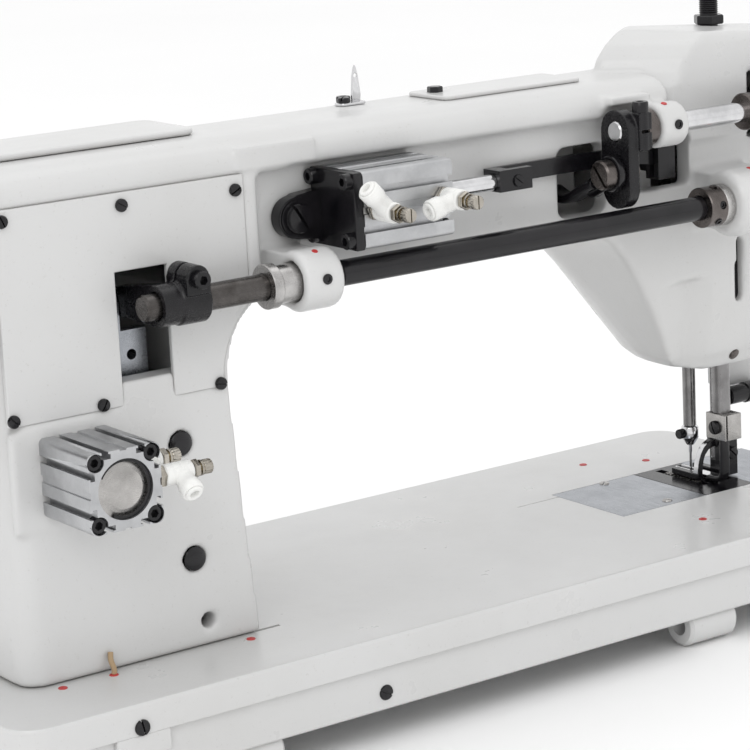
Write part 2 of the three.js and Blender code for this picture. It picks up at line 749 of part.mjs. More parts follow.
function hookBody() {
  const cup = turned("z", HOOK.x, HOOK.y, [
    [0, -26],
    [15, -26],
    [18.5, -23],
    [18.5, -13.5],
    [16.4, -13.5],
    [16.4, -22],
    [0, -22],
  ], 16);
  const post = rod("z", HOOK.x, HOOK.y, 3, -23, -15, 12);
  const stem = rod("z", HOOK.x, HOOK.y, 4.5, -61, -25);
  const gear = gearWheel("z", HOOK.x, HOOK.y, 18.6, 8, -40, -29);
  const point = box(HOOK.x - 18.2, HOOK.x - 15, HOOK.y, HOOK.y + 7, -14, -11.5);
  return join(cup, post, stem, gear, point);
}

// A gear of plain teeth: a disc whose rim steps in and out.
function gearWheel(axis, a, b, radius, teeth, from, to) {
  const points = [];
  for (let i = 0; i < teeth; i += 1)
    for (const [part, r] of [[0, radius], [0.4, radius], [0.5, radius - 2], [0.9, radius - 2]]) {
      const angle = (2 * Math.PI * (i + part)) / teeth;
      points.push([a + r * Math.cos(angle), b + r * Math.sin(angle)]);
    }
  return prism(axis, points, from, to);
}

function hookSaddle() {
  const body = join(
    box(590, 626, 122, 168, -63, -52),
    box(590, 626, 160, 168, -63, -DECK - GAP),
  );
  return cut(body, rod("z", HOOK.x, HOOK.y, 4.8, -64, -50));
}

function lowerShaft() {
  return join(
    rod("x", LOWER.y, LOWER.z, LOWER.radius, 56, 622),
    rod("x", LOWER.y, LOWER.z, 22, 62, 80, 20),
    gearWheel("x", LOWER.y, LOWER.z, 14, 16, 600, 616),
  );
}

function timingBelt() {
  const upper = new THREE.Vector2(MAIN.y, MAIN.z);
  const lower = new THREE.Vector2(LOWER.y, LOWER.z);
  const slope = Math.atan2(upper.y - lower.y, upper.x - lower.x);
  const loop = (r) => {
    const shape = new THREE.Shape();
    shape.absarc(lower.x, lower.y, r, slope + Math.PI / 2, slope + 1.5 * Math.PI);
    shape.absarc(upper.x, upper.y, r, slope - Math.PI / 2, slope + Math.PI / 2);
    return prism("x", shape, 0, 1, 9);
  };
  const stretch = (body) => body.scale([14, 1, 1]).translate([64, 0, 0]);
  return cut(stretch(loop(25)), stretch(loop(22.4)).scale([1.5, 1, 1]).translate([-36, 0, 0]));
}

function mainShaft() {
  return join(
    rod("x", MAIN.y, MAIN.z, MAIN.radius, -38, 563),
    rod("x", MAIN.y, MAIN.z, 22, 62, 80, 20),
    rod("x", MAIN.y, MAIN.z, 22, 562, 572, 20),
    rod("x", MAIN.y, MAIN.z, 5, 571, 574.8, 12),
  );
}

function handwheel() {
  return turned(
    "x",
    MAIN.y,
    MAIN.z,
    [
      [9.3, -36],
      [25, -36],
      [26, -20],
      [60, -14],
      [66, -32],
      [77, -32],
      [82, -24],
      [82, -6],
      [74, 3],
      [24, -2],
      [22, 22],
      [9.3, 22],
      [9.3, -36],
    ],
    24,
  );
}

function takeUpLever() {
  const arm = join(
    lever("x", [160, 262], [212, 286], 7, 4, 626, 630),
    rod("x", 160, 262, 5, 616, 632, 14),
  );
  return cut(arm, rod("x", 212, 286, 1.6, 620, 640, 8));
}

// ---------------------------------------------------------------- controls on the operator's side
function stitchDial() {
  const points = [];
  for (let i = 0; i < 24; i += 1) {
    const r = i % 2 ? 20 : 21.5;
    const angle = (2 * Math.PI * i) / 24;
    points.push([112 + r * Math.cos(angle), 196 + r * Math.sin(angle)]);
  }
  return join(prism("y", points, FRONT + 1, FRONT + 14), rod("y", 112, 196, 5, 174, FRONT + 2));
}

function reverseLever() {
  return join(
    lever("y", [120, 110], [172, 92], 9, 7, FRONT + 1, FRONT + 9),
    box(166, 186, FRONT + 1, FRONT + 20, 84, 96),
    rod("y", 120, 110, 5, 174, FRONT + 2, 14),
  );
}

function handLifter() {
  return join(
    lever("x", [150, 160], [186, 116], 8, 6, HEAD_END + 8, HEAD_END + 14),
    rod("x", 150, 160, 4, HEAD_END - 10, HEAD_END + 9, 14),
  );
}

function tensionPost() {
  return join(
    rod("y", 600, 246, 3.4, 170, 214, 14),
    rod("y", 600, 246, 13, FRONT + 4, FRONT + 6, 20),
    rod("y", 600, 246, 13, FRONT + 7, FRONT + 9, 20),
    rod("y", 600, 246, 9, FRONT + 5, FRONT + 8, 16),
  );
}

function tensionKnob() {
  return turned("y", 600, 246, [
    [3.8, FRONT + 15],
    [9.5, FRONT + 15],
    [9.5, FRONT + 24],
    [8, FRONT + 25.5],
    [3.8, FRONT + 25.5],
    [3.8, FRONT + 15],
  ]);
}

function pressureScrew() {
  return join(
    rod("z", PRESSER.x, PRESSER.y, 5.8, 284, 338),
    rod("z", PRESSER.x, PRESSER.y, 10, HEAD_TOP - 4, HEAD_TOP + 2, 18),
    rod("z", PRESSER.x, PRESSER.y, 7, 330, 344, 16),
  );
}

// ---------------------------------------------------------------- plates and small covers
function bedPlate(x0, x1) {
  return box(x0 + GAP / 2, x1 - GAP / 2, PLATE.y0, PLATE.y1, -PLATE.thick, 0);
}

function needlePlate() {
  return cut(
    bedPlate(558, 600),
    box(583, 589, 129, 146, -4, 1),
    box(574, 579.4, 111, 160, -4, 1),
    box(592.6, 598, 111, 160, -4, 1),
  );
}

function feedDog() {
  return join(
    box(574.8, 578.6, 118, 152, -9, 0.5),
    box(593.4, 597.2, 118, 152, -9, 0.5),
    box(574.8, 597.2, 118, 128, -11, -5),
    box(580, 586, 104, 120, -11, -7),
  );
}

function pillarLid() {
  return prism("z", roundedShape(52, 186, 88, 146, 9), ARM_TOP + GAP, ARM_TOP + 4, 3);
}

function armTopCover() {
  return prism("z", roundedShape(352, 456, 80, 120, 5), ARM_TOP + GAP, ARM_TOP + 2.8, 2);
}

function threadGuide() {
  const blade = [
    [304, ARM_TOP + 1.8],
    [310, ARM_TOP + 1.8],
    [310.5, 291],
    [309, 303],
    [307.2, 309],
    [305.6, 303],
    [304, 291],
  ];
  return join(
    prism("y", blade, 107.2, 108.8),
    prism("z", roundedShape(294, 312, 103, 113, 3), ARM_TOP + 1.8, ARM_TOP + 3.4, 2),
    rod("z", 298.5, 108, 3.6, ARM_TOP + 3, ARM_TOP + 6.5, 12),
  );
}

function facePlate() {
  const outline = new THREE.Shape();
  outline.moveTo(92, 103);
  outline.lineTo(164, 103);
  outline.bezierCurveTo(174, 104, 178, 112, 178, 124);
  outline.lineTo(178, 270);
  outline.bezierCurveTo(178, 284, 168, 293, 150, 295);
  outline.lineTo(96, 295);
  outline.bezierCurveTo(80, 293, 76, 286, 76, 274);
  outline.lineTo(76, 124);
  outline.bezierCurveTo(78, 110, 82, 104, 92, 103);
  const hole = rod("x", 150, 160, 4.4, HEAD_END - 1, HEAD_END + 8, 14);
  return cut(prism("x", outline, HEAD_END + GAP, HEAD_END + 5, 5), hole);
}

function plug(x, z) {
  return turned("y", x, z, [
    [0, REAR - 1.6],
    [5.6, REAR - 1.6],
    [6.9, REAR - GAP],
    [0, REAR - GAP],
  ], 16);
}

function bushing() {
  const ringBody = rod("x", ROCK.y, ROCK.z, 10.8, 191, 241);
  return cut(ringBody, rod("x", ROCK.y, ROCK.z, ROCK.radius + GAP, 180, 250));
}

function rockCollar() {
  const collar = rod("x", ROCK.y, ROCK.z, 12.5, 511, 529.5);
  return cut(collar, rod("x", ROCK.y, ROCK.z, ROCK.radius + GAP, 500, 540));
}

// ---------------------------------------------------------------- assembly
const machine = new THREE.Group();
const add = (name, body, material) => machine.add(mesh(name, body, material));

add("bed_casting", bedCasting(), PAINT);
add("arm_casting", armCasting(), PAINT);
add("rear_cover", coverSolid(0), PAINT);
add("pillar_top_lid", pillarLid(), PAINT);
add("arm_top_cover", armTopCover(), PAINT);
add("face_plate", facePlate(), PAINT);
add("hole_plug_upper", plug(143, 119.5), BLACK);
add("hole_plug_lower", plug(147, 52.2), BLACK);
add("thread_guide", threadGuide(), BRIGHT);

add("rock_shaft_bushing", bushing(), STEEL);
add("rock_shaft", rod("x", ROCK.y, ROCK.z, ROCK.radius, 113, 590), BLACK);
add("rock_shaft_collar", rockCollar(), STEEL);
add("rock_clamp_lever", rockClampLever(), BLACK);
add("feed_link", feedLink(), STEEL);
add("feed_dog", feedDog(), STEEL);

add("walk_shaft", walkShaft(), BRIGHT);
add("walk_lever", walkLever(), BLACK);
add("walk_shoulder_screw", shoulderScrew(), STEEL);
add("walk_crank", walkCrank(), BLACK);
add("walk_front_lever", walkFrontLever(), BLACK);

add("lift_cylinder_body", liftCylinderBody(), ALUMINIUM);
add("lift_bracket", liftBracket(), BLACK);
add("lift_piston_rod", liftPistonRod(), BRIGHT);
add("rod_clevis", rodClevis(), BLACK);
add("lift_link", liftLink(), BLACK);
add("lift_bell_crank", bellCrank(), BLACK);

add("tack_cylinder_body", tackCylinderBody(), ALUMINIUM);
add("tack_piston_rod", tackPistonRod(), BRIGHT);

// Each fitting: its port in the cylinder's face, the way out of that face, and its pipe branch.
const FITTINGS = {
  lift_left: { port: [259, 24, LIFT.z], out: [0, -1, 0], branch: [-14, 0, 14.5] },
  lift_right: { port: [305.5, 24, LIFT.z + 1], out: [0, -1, 0], branch: [-19, 0, -4.5] },
  tack_front: { port: [98.5, 10, TACK.z + 1], out: [1, 0, 0], branch: [0, -13, -9] },
  tack_rear: { port: [98.5, 43, TACK.z + 1], out: [1, 0, 0], branch: [0, -13, -9] },
};
const REACH = { lift: { knee: 13, body: 20, knob: 34 }, tack: { knee: 15, body: 22, knob: 34 } };
for (const [name, fitting] of Object.entries(FITTINGS)) {
  const [cylinder, place] = name.split("_");
  const reach = REACH[cylinder];
  add(`${cylinder}_elbow_${place}`, elbow(fitting, reach), WHITE_PLASTIC);
  add(`${cylinder}_flow_knob_${place}`, flowKnob(fitting, reach), BRASS);
}

add("needle_bar_frame", needleBarFrame(), STEEL);
add("needle_bar", needleBar(), STEEL);
add("needle_clamp", needleClamp(), BRIGHT);
add("needle", needle(), BRIGHT);
add("walking_bar", rod("z", WALK_BAR.x, WALK_BAR.y, WALK_BAR.radius, 36.4, 250), STEEL);
add("walking_foot", walkingFoot(), STEEL);
add("presser_bar", presserBar(), STEEL);
add("presser_foot", presserFoot(), BLACK);
add("needle_plate", needlePlate(), BLACK);
add("bed_cover_plate", bedPlate(487, 558), STEEL);
add("bobbin_slide_plate", bedPlate(600, 656), STEEL);

add("handwheel", handwheel(), BLACK);
add("main_shaft", mainShaft(), STEEL);
add("timing_belt", timingBelt(), RUBBER);
add("lower_shaft", lowerShaft(), STEEL);
add("hook", hookBody(), BRIGHT);
add("hook_saddle", hookSaddle(), STEEL);
add("take_up_lever", takeUpLever(), BRIGHT);
add("stitch_dial", stitchDial(), BLACK);
add("reverse_lever", reverseLever(), BLACK);
add("hand_lifter", handLifter(), BRIGHT);
add("tension_post", tensionPost(), BRIGHT);
add("tension_knob", tensionKnob(), BRIGHT);
add("pressure_screw", pressureScrew(), BLACK);

// The origin is the middle of the machine's underside.
const extent = new THREE.Box3().setFromObject(machine);
const middle = extent.getCenter(new THREE.Vector3());
machine.position.set(-middle.x, -middle.y, -extent.min.z);

const root = new THREE.Group();
root.add(machine);

export default root;
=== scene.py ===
# The looks of a long-arm leather sewing machine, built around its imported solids.
# Shapes are made in millimetres: x = 0 is the bed's pillar end, y = 0 its rear edge and z = 0 its
# top surface; publish() moves each finished piece into the frame's metres.
import math
import bmesh
import bpy
from mathutils import Matrix, Vector


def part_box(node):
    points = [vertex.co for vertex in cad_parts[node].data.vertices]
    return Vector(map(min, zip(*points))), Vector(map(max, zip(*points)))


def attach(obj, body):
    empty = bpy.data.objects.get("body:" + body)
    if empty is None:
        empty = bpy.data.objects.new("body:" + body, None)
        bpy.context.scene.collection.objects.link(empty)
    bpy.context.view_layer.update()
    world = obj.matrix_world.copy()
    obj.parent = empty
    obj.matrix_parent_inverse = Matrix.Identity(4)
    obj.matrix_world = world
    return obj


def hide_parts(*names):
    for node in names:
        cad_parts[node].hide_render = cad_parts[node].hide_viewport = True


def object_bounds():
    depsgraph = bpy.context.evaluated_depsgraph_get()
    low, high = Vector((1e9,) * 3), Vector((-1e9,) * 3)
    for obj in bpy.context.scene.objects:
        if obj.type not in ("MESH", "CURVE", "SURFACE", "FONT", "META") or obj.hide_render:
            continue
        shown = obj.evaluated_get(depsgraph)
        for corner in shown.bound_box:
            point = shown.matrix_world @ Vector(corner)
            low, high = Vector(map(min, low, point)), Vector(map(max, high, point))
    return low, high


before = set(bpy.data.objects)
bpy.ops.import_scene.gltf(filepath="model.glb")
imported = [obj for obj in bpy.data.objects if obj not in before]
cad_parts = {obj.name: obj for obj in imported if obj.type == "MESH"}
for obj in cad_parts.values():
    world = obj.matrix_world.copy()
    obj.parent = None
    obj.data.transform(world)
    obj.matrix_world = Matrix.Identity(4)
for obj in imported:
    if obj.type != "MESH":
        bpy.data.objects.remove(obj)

CAD_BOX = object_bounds()
BED_LOW, BED_HIGH = (Vector(corner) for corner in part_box("bed_casting"))
ORIGIN = Vector((BED_LOW.x, BED_LOW.y, BED_HIGH.z))
SCENE = bpy.context.scene

# ---------------------------------------------------------------- driving dimensions (mm)
LENGTH, WIDTH, LIP, CORNER = 656, 250, 18.4, 20
INSET, BOTTOM, DECK, WALL = 3.5, -44.8, 12, 9
REAR, RECESS, FRONT = 57, 68, 188
ARM_TOP, ARM_BOTTOM = 284, 197
HEAD_BOTTOM, HEAD_TOP, HEAD_END = 87, 309, 650
PILLAR_LEFT = 36
WINDOW = (109, 141.5, 157, 221)
COVER = (38.5, 194, 147, 264, 3.5)
ROCK_Y, ROCK_Z, ROCK_R = 38, 203, 7.5
WALK_Y, WALK_Z, WALK_R = 45, 257, 6.3
MAIN_Y, MAIN_Z = 125, 240
LOWER_Y, LOWER_Z = 104, -32
LEVER_SCREW_Z = 232
TACK_X, TACK_Z = 76.5, 117
LIFT_Y, LIFT_Z = 46, 238.5
NEEDLE_X, NEEDLE_Y = 586, 137.5
BAR_X, BAR_Y = 586, 106
PRESS_X, PRESS_Y = 599, 124
PLATE_Y = (91, 164)
BOLTS = 17  # half the pitch of a cylinder's four bolts
HUMP_CORNER = 108  # y where the chamfer of the head's top begins
GAP = 0.3

# Each centre line as rod() and turned() take it: its direction and its two other coordinates.
ROCK = ("x", ROCK_Y, ROCK_Z)
WALK = ("x", WALK_Y, WALK_Z)
LEVER_SCREW = ("x", WALK_Y, LEVER_SCREW_Z)
MAIN = ("x", MAIN_Y, MAIN_Z)
LOWER = ("x", LOWER_Y, LOWER_Z)
LIFT = ("x", LIFT_Y, LIFT_Z)
TACK = ("y", TACK_X, TACK_Z)
NEEDLE = ("z", NEEDLE_X, NEEDLE_Y)
BAR = ("z", BAR_X, BAR_Y)
PRESS = ("z", PRESS_X, PRESS_Y)
BELL_CRANK = ("y", 502, 262)
DIAL = ("y", 112, 196)
REVERSE = ("y", 120, 110)
TENSION = ("y", 600, 246)
PLUGS = {"upper": ("y", 143, 119.5), "lower": ("y", 147, 52.2)}

UP, BACK, LEFT, RIGHT = (0, 0, 1), (0, -1, 0), (-1, 0, 0), (1, 0, 0)
FOUR = [(u, v) for u in (-1, 1) for v in (-1, 1)]


# ---------------------------------------------------------------- mesh kit
def new_object(mesh_or_bm, name="shape"):
    mesh = mesh_or_bm
    if isinstance(mesh_or_bm, bmesh.types.BMesh):
        bmesh.ops.recalc_face_normals(mesh_or_bm, faces=mesh_or_bm.faces)
        mesh = bpy.data.meshes.new(name)
        mesh_or_bm.to_mesh(mesh)
        mesh_or_bm.free()
    ob = bpy.data.objects.new(name, mesh)
    SCENE.collection.objects.link(ob)
    return ob


def discard(*objects):
    for ob in objects:
        mesh = ob.data
        bpy.data.objects.remove(ob)
        bpy.data.meshes.remove(mesh)


def bake(ob):
    depsgraph = bpy.context.evaluated_depsgraph_get()
    mesh = bpy.data.meshes.new_from_object(ob.evaluated_get(depsgraph))
    old = ob.data
    ob.modifiers.clear()
    ob.data = mesh
    bpy.data.meshes.remove(old)
    return ob


def combine(ob, operation, tools):
    for tool in tools:
        step = ob.modifiers.new("step", "BOOLEAN")
        step.operation = operation
        step.solver = "EXACT"
        step.object = tool
        bake(ob)
    discard(*tools)
    return ob


def union(ob, *tools):
    return combine(ob, "UNION", tools)


def cut(ob, *tools):
    return combine(ob, "DIFFERENCE", tools)


def common(ob, *tools):
    return combine(ob, "INTERSECT", tools)


def group(first, *others):
    """Puts shapes into one mesh without merging their solids."""
    bm = bmesh.new()
    for ob in (first, *others):
        bm.from_mesh(ob.data)
    discard(first, *others)
    return new_object(bm)


def bezier(p0, p1, p2, p3, steps=14):
    points = []
    for i in range(1, steps + 1):
        t = i / steps
        s = 1 - t
        points.append(tuple(s**3 * a + 3 * s * s * t * b + 3 * s * t * t * c + t**3 * d
                            for a, b, c, d in zip(p0, p1, p2, p3)))
    return points


def arc(cx, cy, radius, start, stop, steps=8):
    angles = [math.radians(start + (stop - start) * i / steps) for i in range(steps + 1)]
    return [(cx + radius * math.cos(a), cy + radius * math.sin(a)) for a in angles]


def rect(x0, x1, y0, y1, radius, steps=8):
    return (arc(x1 - radius, y0 + radius, radius, -90, 0, steps)
            + arc(x1 - radius, y1 - radius, radius, 0, 90, steps)
            + arc(x0 + radius, y1 - radius, radius, 90, 180, steps)
            + arc(x0 + radius, y0 + radius, radius, 180, 270, steps))


def circle(a, b, radius, sides=40):
    return arc(a, b, radius, 0, 360 - 360 / sides, sides - 1)


def lift_point(axis, a, b, h):
    return {"x": (h, a, b), "y": (a, h, b), "z": (a, b, h)}[axis]


def skin(rings):
    """A closed body through equal rings of points."""
    bm = bmesh.new()
    rows = [[bm.verts.new(p) for p in ring] for ring in rings]
    count = len(rows[0])
    for low, high in zip(rows, rows[1:]):
        for i in range(count):
            j = (i + 1) % count
            bm.faces.new((low[i], low[j], high[j], high[i]))
    bm.faces.new(rows[0])
    bm.faces.new(rows[-1])
    return new_object(bm)


def prism(axis, section, start, stop):
    return skin([[lift_point(axis, a, b, h) for a, b in section] for h in (start, stop)])


def rod(axis, a, b, radius, start, stop, chamfer=0.0, sides=48):
    if not chamfer:
        return prism(axis, circle(a, b, radius, sides), start, stop)
    stations = [(start, radius - chamfer), (start + chamfer, radius),
                (stop - chamfer, radius), (stop, radius - chamfer)]
    return skin([[lift_point(axis, u, v, h) for u, v in circle(a, b, r, sides)]
                 for h, r in stations])


def turned(axis, a, b, profile, sides=64):
    """Revolves [radius, distance] points about an axis; both ends are on the axis or joined."""
    bm = bmesh.new()
    rows = []
    for radius, h in profile:
        if radius == 0:
            rows.append([bm.verts.new(lift_point(axis, a, b, h))])
        else:
            rows.append([bm.verts.new(lift_point(axis, u, v, h))
                         for u, v in circle(a, b, radius, sides)])
    pairs = list(zip(rows, rows[1:]))
    if profile[0][0]:
        pairs.append((rows[-1], rows[0]))
    for low, high in pairs:
        for i in range(sides):
            j = (i + 1) % sides
            ring = [low[i % len(low)], low[j % len(low)], high[j % len(high)], high[i % len(high)]]
            unique = list(dict.fromkeys(ring))
            if len(unique) > 2:
                bm.faces.new(unique)
    return new_object(bm)


def block(x0, x1, y0, y1, z0, z1):
    return prism("z", [(x0, y0), (x1, y0), (x1, y1), (x0, y1)], z0, z1)


def hexagon(radius, levels):
    """A six-sided prism along +Z, scaled at each (height, share of the radius)."""
    return skin([[(x, y, z) for x, y in circle(0, 0, radius * share, 6)] for z, share in levels])


def soften(ob, width, segments=2, angle=30):
    step = ob.modifiers.new("edge", "BEVEL")
    step.width = width
    step.segments = segments
    step.limit_method = "ANGLE"
    step.angle_limit = math.radians(angle)
    return bake(ob)


def cast(ob, voxel, rounds=3):
    """Rounds every edge as a casting or forging has it."""
    step = ob.modifiers.new("skin", "REMESH")
    step.mode = "VOXEL"
    step.voxel_size = voxel
    if rounds:
        step = ob.modifiers.new("round", "SMOOTH")
        step.factor = 0.5
        step.iterations = rounds
    return bake(ob)


def link_shape(axis, hub, end, hub_r, end_r, start, stop):
    """A lever outline: two round ends of 20 steps each, joined by straight tangents."""
    steps = 20
    (ha, hb), (ea, eb) = hub, end
    angle = math.degrees(math.atan2(eb - hb, ea - ha))
    spread = math.degrees(math.acos((hub_r - end_r) / math.hypot(ea - ha, eb - hb)))
    outline = (arc(ha, hb, hub_r, angle + spread, angle + 360 - spread, steps)
               + arc(ea, eb, end_r, angle - spread, angle + spread, steps))
    return prism(axis, outline, start, stop)


def sweep(points, half_a, half_b, up, power=4.0, sides=24, steps=48):
    """A rounded-rectangle bar along a smooth line through the points."""
    path = smooth_path([Vector(p) for p in points], steps)
    rings = []
    up = Vector(up)
    for i, p in enumerate(path):
        ahead = path[min(i + 1, len(path) - 1)] - path[max(i - 1, 0)]
        ahead.normalize()
        side = ahead.cross(up).normalized()
        over = side.cross(ahead).normalized()
        ring = []
        for k in range(sides):
            t = 2 * math.pi * k / sides
            c, s = math.cos(t), math.sin(t)
            ring.append(p + side * half_a * math.copysign(abs(c) ** (2 / power), c)
                        + over * half_b * math.copysign(abs(s) ** (2 / power), s))
        rings.append(ring)
    return skin(rings)


def smooth_path(points, steps):
    ends = [2 * points[0] - points[1]] + points + [2 * points[-1] - points[-2]]
    path = []
    for k in range(1, len(ends) - 2):
        a, b, c, d = ends[k - 1:k + 3]
        for i in range(steps // (len(points) - 1)):
            t = i / (steps // (len(points) - 1))
            path.append(0.5 * ((2 * b) + (c - a) * t + (2 * a - 5 * b + 4 * c - d) * t * t
                               + (3 * b - a - 3 * c + d) * t ** 3))
    return path + [points[-1]]


def aim(ob, position, axis, roll=0.0):
    """Places a shape that was made along +Z at the origin."""
    turn = Vector(axis).to_track_quat("Z", "X").to_matrix().to_4x4()
    ob.data.transform(Matrix.Translation(Vector(position)) @ turn @ Matrix.Rotation(roll, 4, "Z"))
    return ob


def publish(ob, name, material, body, replaces=(), angle=38, weighted=False):
    """Names a finished piece, moves it into the frame and rides it on its body."""
    ob.name = name
    ob.data.name = name
    ob.data.transform(Matrix.Translation(ORIGIN) @ Matrix.Scale(0.001, 4))
    ob.data.materials.clear()
    ob.data.materials.append(material)
    for face in ob.data.polygons:
        face.use_smooth = True
    ob.data.set_sharp_from_angle(angle=math.radians(angle))
    if weighted:
        ob.modifiers.new("normals", "WEIGHTED_NORMAL").keep_sharp = True
        bake(ob)
        ob.data.name = name
    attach(ob, body)
    if replaces:
        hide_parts(*replaces)
    return ob


# ---------------------------------------------------------------- materials
def shader(name, slot, color, metallic, roughness, specular=0.5):
    material = bpy.data.materials.new(name)
    material["slot"] = slot
    material.use_nodes = True
    nodes, links = material.node_tree.nodes, material.node_tree.links
    surface = nodes["Principled BSDF"]
    surface.inputs["Base Color"].default_value = (*color, 1)
    surface.inputs["Metallic"].default_value = metallic
    surface.inputs["Roughness"].default_value = roughness
    surface.inputs["Specular IOR Level"].default_value = specular
    place = nodes.new("ShaderNodeTexCoord")
    return material, nodes, links, surface, place.outputs["Object"]


def noise(nodes, links, place, scale, detail=4, stretch=None, rough=0.6):
    if stretch:
        mapping = nodes.new("ShaderNodeMapping")
        mapping.inputs["Scale"].default_value = stretch
        links.new(place, mapping.inputs["Vector"])
        place = mapping.outputs["Vector"]
    texture = nodes.new("ShaderNodeTexNoise")
    texture.inputs["Scale"].default_value = scale
    texture.inputs["Detail"].default_value = detail
    texture.inputs["Roughness"].default_value = rough
    links.new(place, texture.inputs["Vector"])
    return texture.outputs["Fac"]


def ramp(nodes, links, value, stops):
    node = nodes.new("ShaderNodeValToRGB")
    elements = node.color_ramp.elements
    elements[0].position, elements[0].color = stops[0][0], (*stops[0][1], 1)
    elements[1].position, elements[1].color = stops[-1][0], (*stops[-1][1], 1)
    for position, color in stops[1:-1]:
        elements.new(position).color = (*color, 1)
    links.new(value, node.inputs["Fac"])
    return node.outputs["Color"]


def bump(nodes, links, surface, heights):
    """Adds small relief; heights are (value, strength, distance in metres)."""
    normal = None
    for value, strength, distance in heights:
        node = nodes.new("ShaderNodeBump")
        node.inputs["Strength"].default_value = strength
        node.inputs["Distance"].default_value = distance
        links.new(value, node.inputs["Height"])
        if normal:
            links.new(normal, node.inputs["Normal"])
        normal = node.outputs["Normal"]
    links.new(normal, surface.inputs["Normal"])


def grey(value):
    return (value, value, value)


def paint_material():
    material, nodes, links, surface, place = shader("white_stove_enamel", "white_paint",
                                                    (0.62, 0.62, 0.615), 0, 0.34)
    tone = ramp(nodes, links, noise(nodes, links, place, 7, 5),
                [(0.25, (0.585, 0.583, 0.575)), (0.55, (0.62, 0.62, 0.617)), (0.8, (0.64, 0.64, 0.638))])
    dust = ramp(nodes, links, noise(nodes, links, place, 420, 3, rough=0.75),
                [(0.3, (0.72, 0.70, 0.67)), (0.37, grey(1)), (1, grey(1))])
    # Painted shade: an ambient-occlusion mask darkens and warms the paint colour in crevices, corners and
    # between parts.
    crevice = nodes.new("ShaderNodeAmbientOcclusion")
    crevice.inputs["Distance"].default_value = 0.007
    crevice.samples = 4
    crevice_shade = ramp(nodes, links, crevice.outputs["AO"], [(0.35, (0.60, 0.585, 0.56)), (0.85, grey(1))])
    color = tone
    for layer, amount in ((dust, 0.3), (crevice_shade, 0.4)):
        mix = nodes.new("ShaderNodeMix")
        mix.data_type = "RGBA"
        mix.blend_type = "MULTIPLY"
        mix.inputs["Factor"].default_value = amount
        links.new(color, mix.inputs["A"])
        links.new(layer, mix.inputs["B"])
        color = mix.outputs["Result"]
    links.new(color, surface.inputs["Base Color"])
    gloss = ramp(nodes, links, noise(nodes, links, place, 26, 4), [(0.3, grey(0.26)), (0.7, grey(0.42))])
    links.new(gloss, surface.inputs["Roughness"])
    peel = noise(nodes, links, place, 520, 2)
    waves = noise(nodes, links, place, 45, 3)
    bump(nodes, links, surface, [(waves, 0.16, 0.0012), (peel, 0.16, 0.00035)])
    surface.inputs["Coat Weight"].default_value = 0.25
    surface.inputs["Coat Roughness"].default_value = 0.16
    return material


def metal_material(name, slot, dark, light, roughness, grain=(1, 1, 1), metallic=1.0, fine=900,
                   strength=0.12, specular=0.5):
    material, nodes, links, surface, place = shader(name, slot, light, metallic, roughness, specular)
    tone = ramp(nodes, links, noise(nodes, links, place, 60, 5), [(0.3, dark), (0.7, light)])
    links.new(tone, surface.inputs["Base Color"])
    lines = noise(nodes, links, place, fine, 3, stretch=grain)
    gloss = ramp(nodes, links, lines, [(0.3, grey(roughness * 0.75)), (0.7, grey(roughness * 1.3))])
    links.new(gloss, surface.inputs["Roughness"])
    bump(nodes, links, surface, [(lines, strength, 0.0002)])
    return material


def plastic_material(name, slot, color, roughness):
    material, nodes, links, surface, place = shader(name, slot, color, 0, roughness)
    darker = tuple(c * 0.93 for c in color)
    tone = ramp(nodes, links, noise(nodes, links, place, 90, 4), [(0.3, darker), (0.65, color)])
    links.new(tone, surface.inputs["Base Color"])
    gloss = ramp(nodes, links, noise(nodes, links, place, 300, 3),
                 [(0.3, grey(roughness * 0.8)), (0.7, grey(roughness * 1.2))])
    links.new(gloss, surface.inputs["Roughness"])
    bump(nodes, links, surface, [(noise(nodes, links, place, 1500, 2), 0.08, 0.0002)])
    return material


PAINT = paint_material()
OXIDE = metal_material("black_oxide_steel", "blackened_steel", (0.004, 0.004, 0.005),
                       (0.011, 0.010, 0.012), 0.2, metallic=0, fine=700, strength=0.06, specular=0.38)
FORGED = metal_material("black_forged_steel", "blackened_steel", (0.004, 0.004, 0.005),
                        (0.012, 0.011, 0.013), 0.26, metallic=0, fine=500, strength=0.2, specular=0.34)
DARK_SHAFT = metal_material("oiled_dark_steel", "blackened_steel", (0.055, 0.050, 0.047),
                            (0.13, 0.122, 0.118), 0.27, grain=(0.15, 1, 1), strength=0.05)
GROUND = metal_material("ground_steel", "ground_steel", (0.33, 0.32, 0.31), (0.50, 0.485, 0.47),
                        0.28, grain=(0.2, 1, 1), strength=0.06)
TURNED = metal_material("turned_steel", "ground_steel", (0.34, 0.33, 0.325), (0.56, 0.55, 0.54),
                        0.24, grain=(3, 1, 1), fine=1200, strength=0.06)
BRONZED = metal_material("bronzed_steel", "ground_steel", (0.085, 0.075, 0.070), (0.17, 0.152, 0.145),
                         0.3, grain=(3, 1, 1), strength=0.06)
BARS = metal_material("ground_bar_steel", "ground_steel", (0.17, 0.165, 0.165), (0.29, 0.285, 0.285),
                      0.24, grain=(1, 1, 0.12), strength=0.04)
BRIGHT = metal_material("bright_plated_steel", "bright_steel", (0.55, 0.55, 0.56),
                        (0.76, 0.76, 0.77), 0.13, grain=(0.3, 1, 1), strength=0.04)
SATIN = metal_material("milled_steel_plate", "ground_steel", (0.30, 0.315, 0.34), (0.40, 0.415, 0.445),
                       0.3, grain=(1, 0.05, 1), fine=1500, strength=0.06)
ALUMINIUM = metal_material("clear_anodised_aluminium", "anodised_aluminium", (0.42, 0.425, 0.435),
                           (0.55, 0.555, 0.565), 0.4, grain=(1, 1, 1), fine=1800, strength=0.05)
NICKEL = metal_material("nickel_plated_brass", "fitting_brass", (0.30, 0.275, 0.235),
                        (0.52, 0.49, 0.44), 0.22)
BRASS = metal_material("turned_brass", "fitting_brass", (0.34, 0.27, 0.15), (0.56, 0.46, 0.29), 0.27)
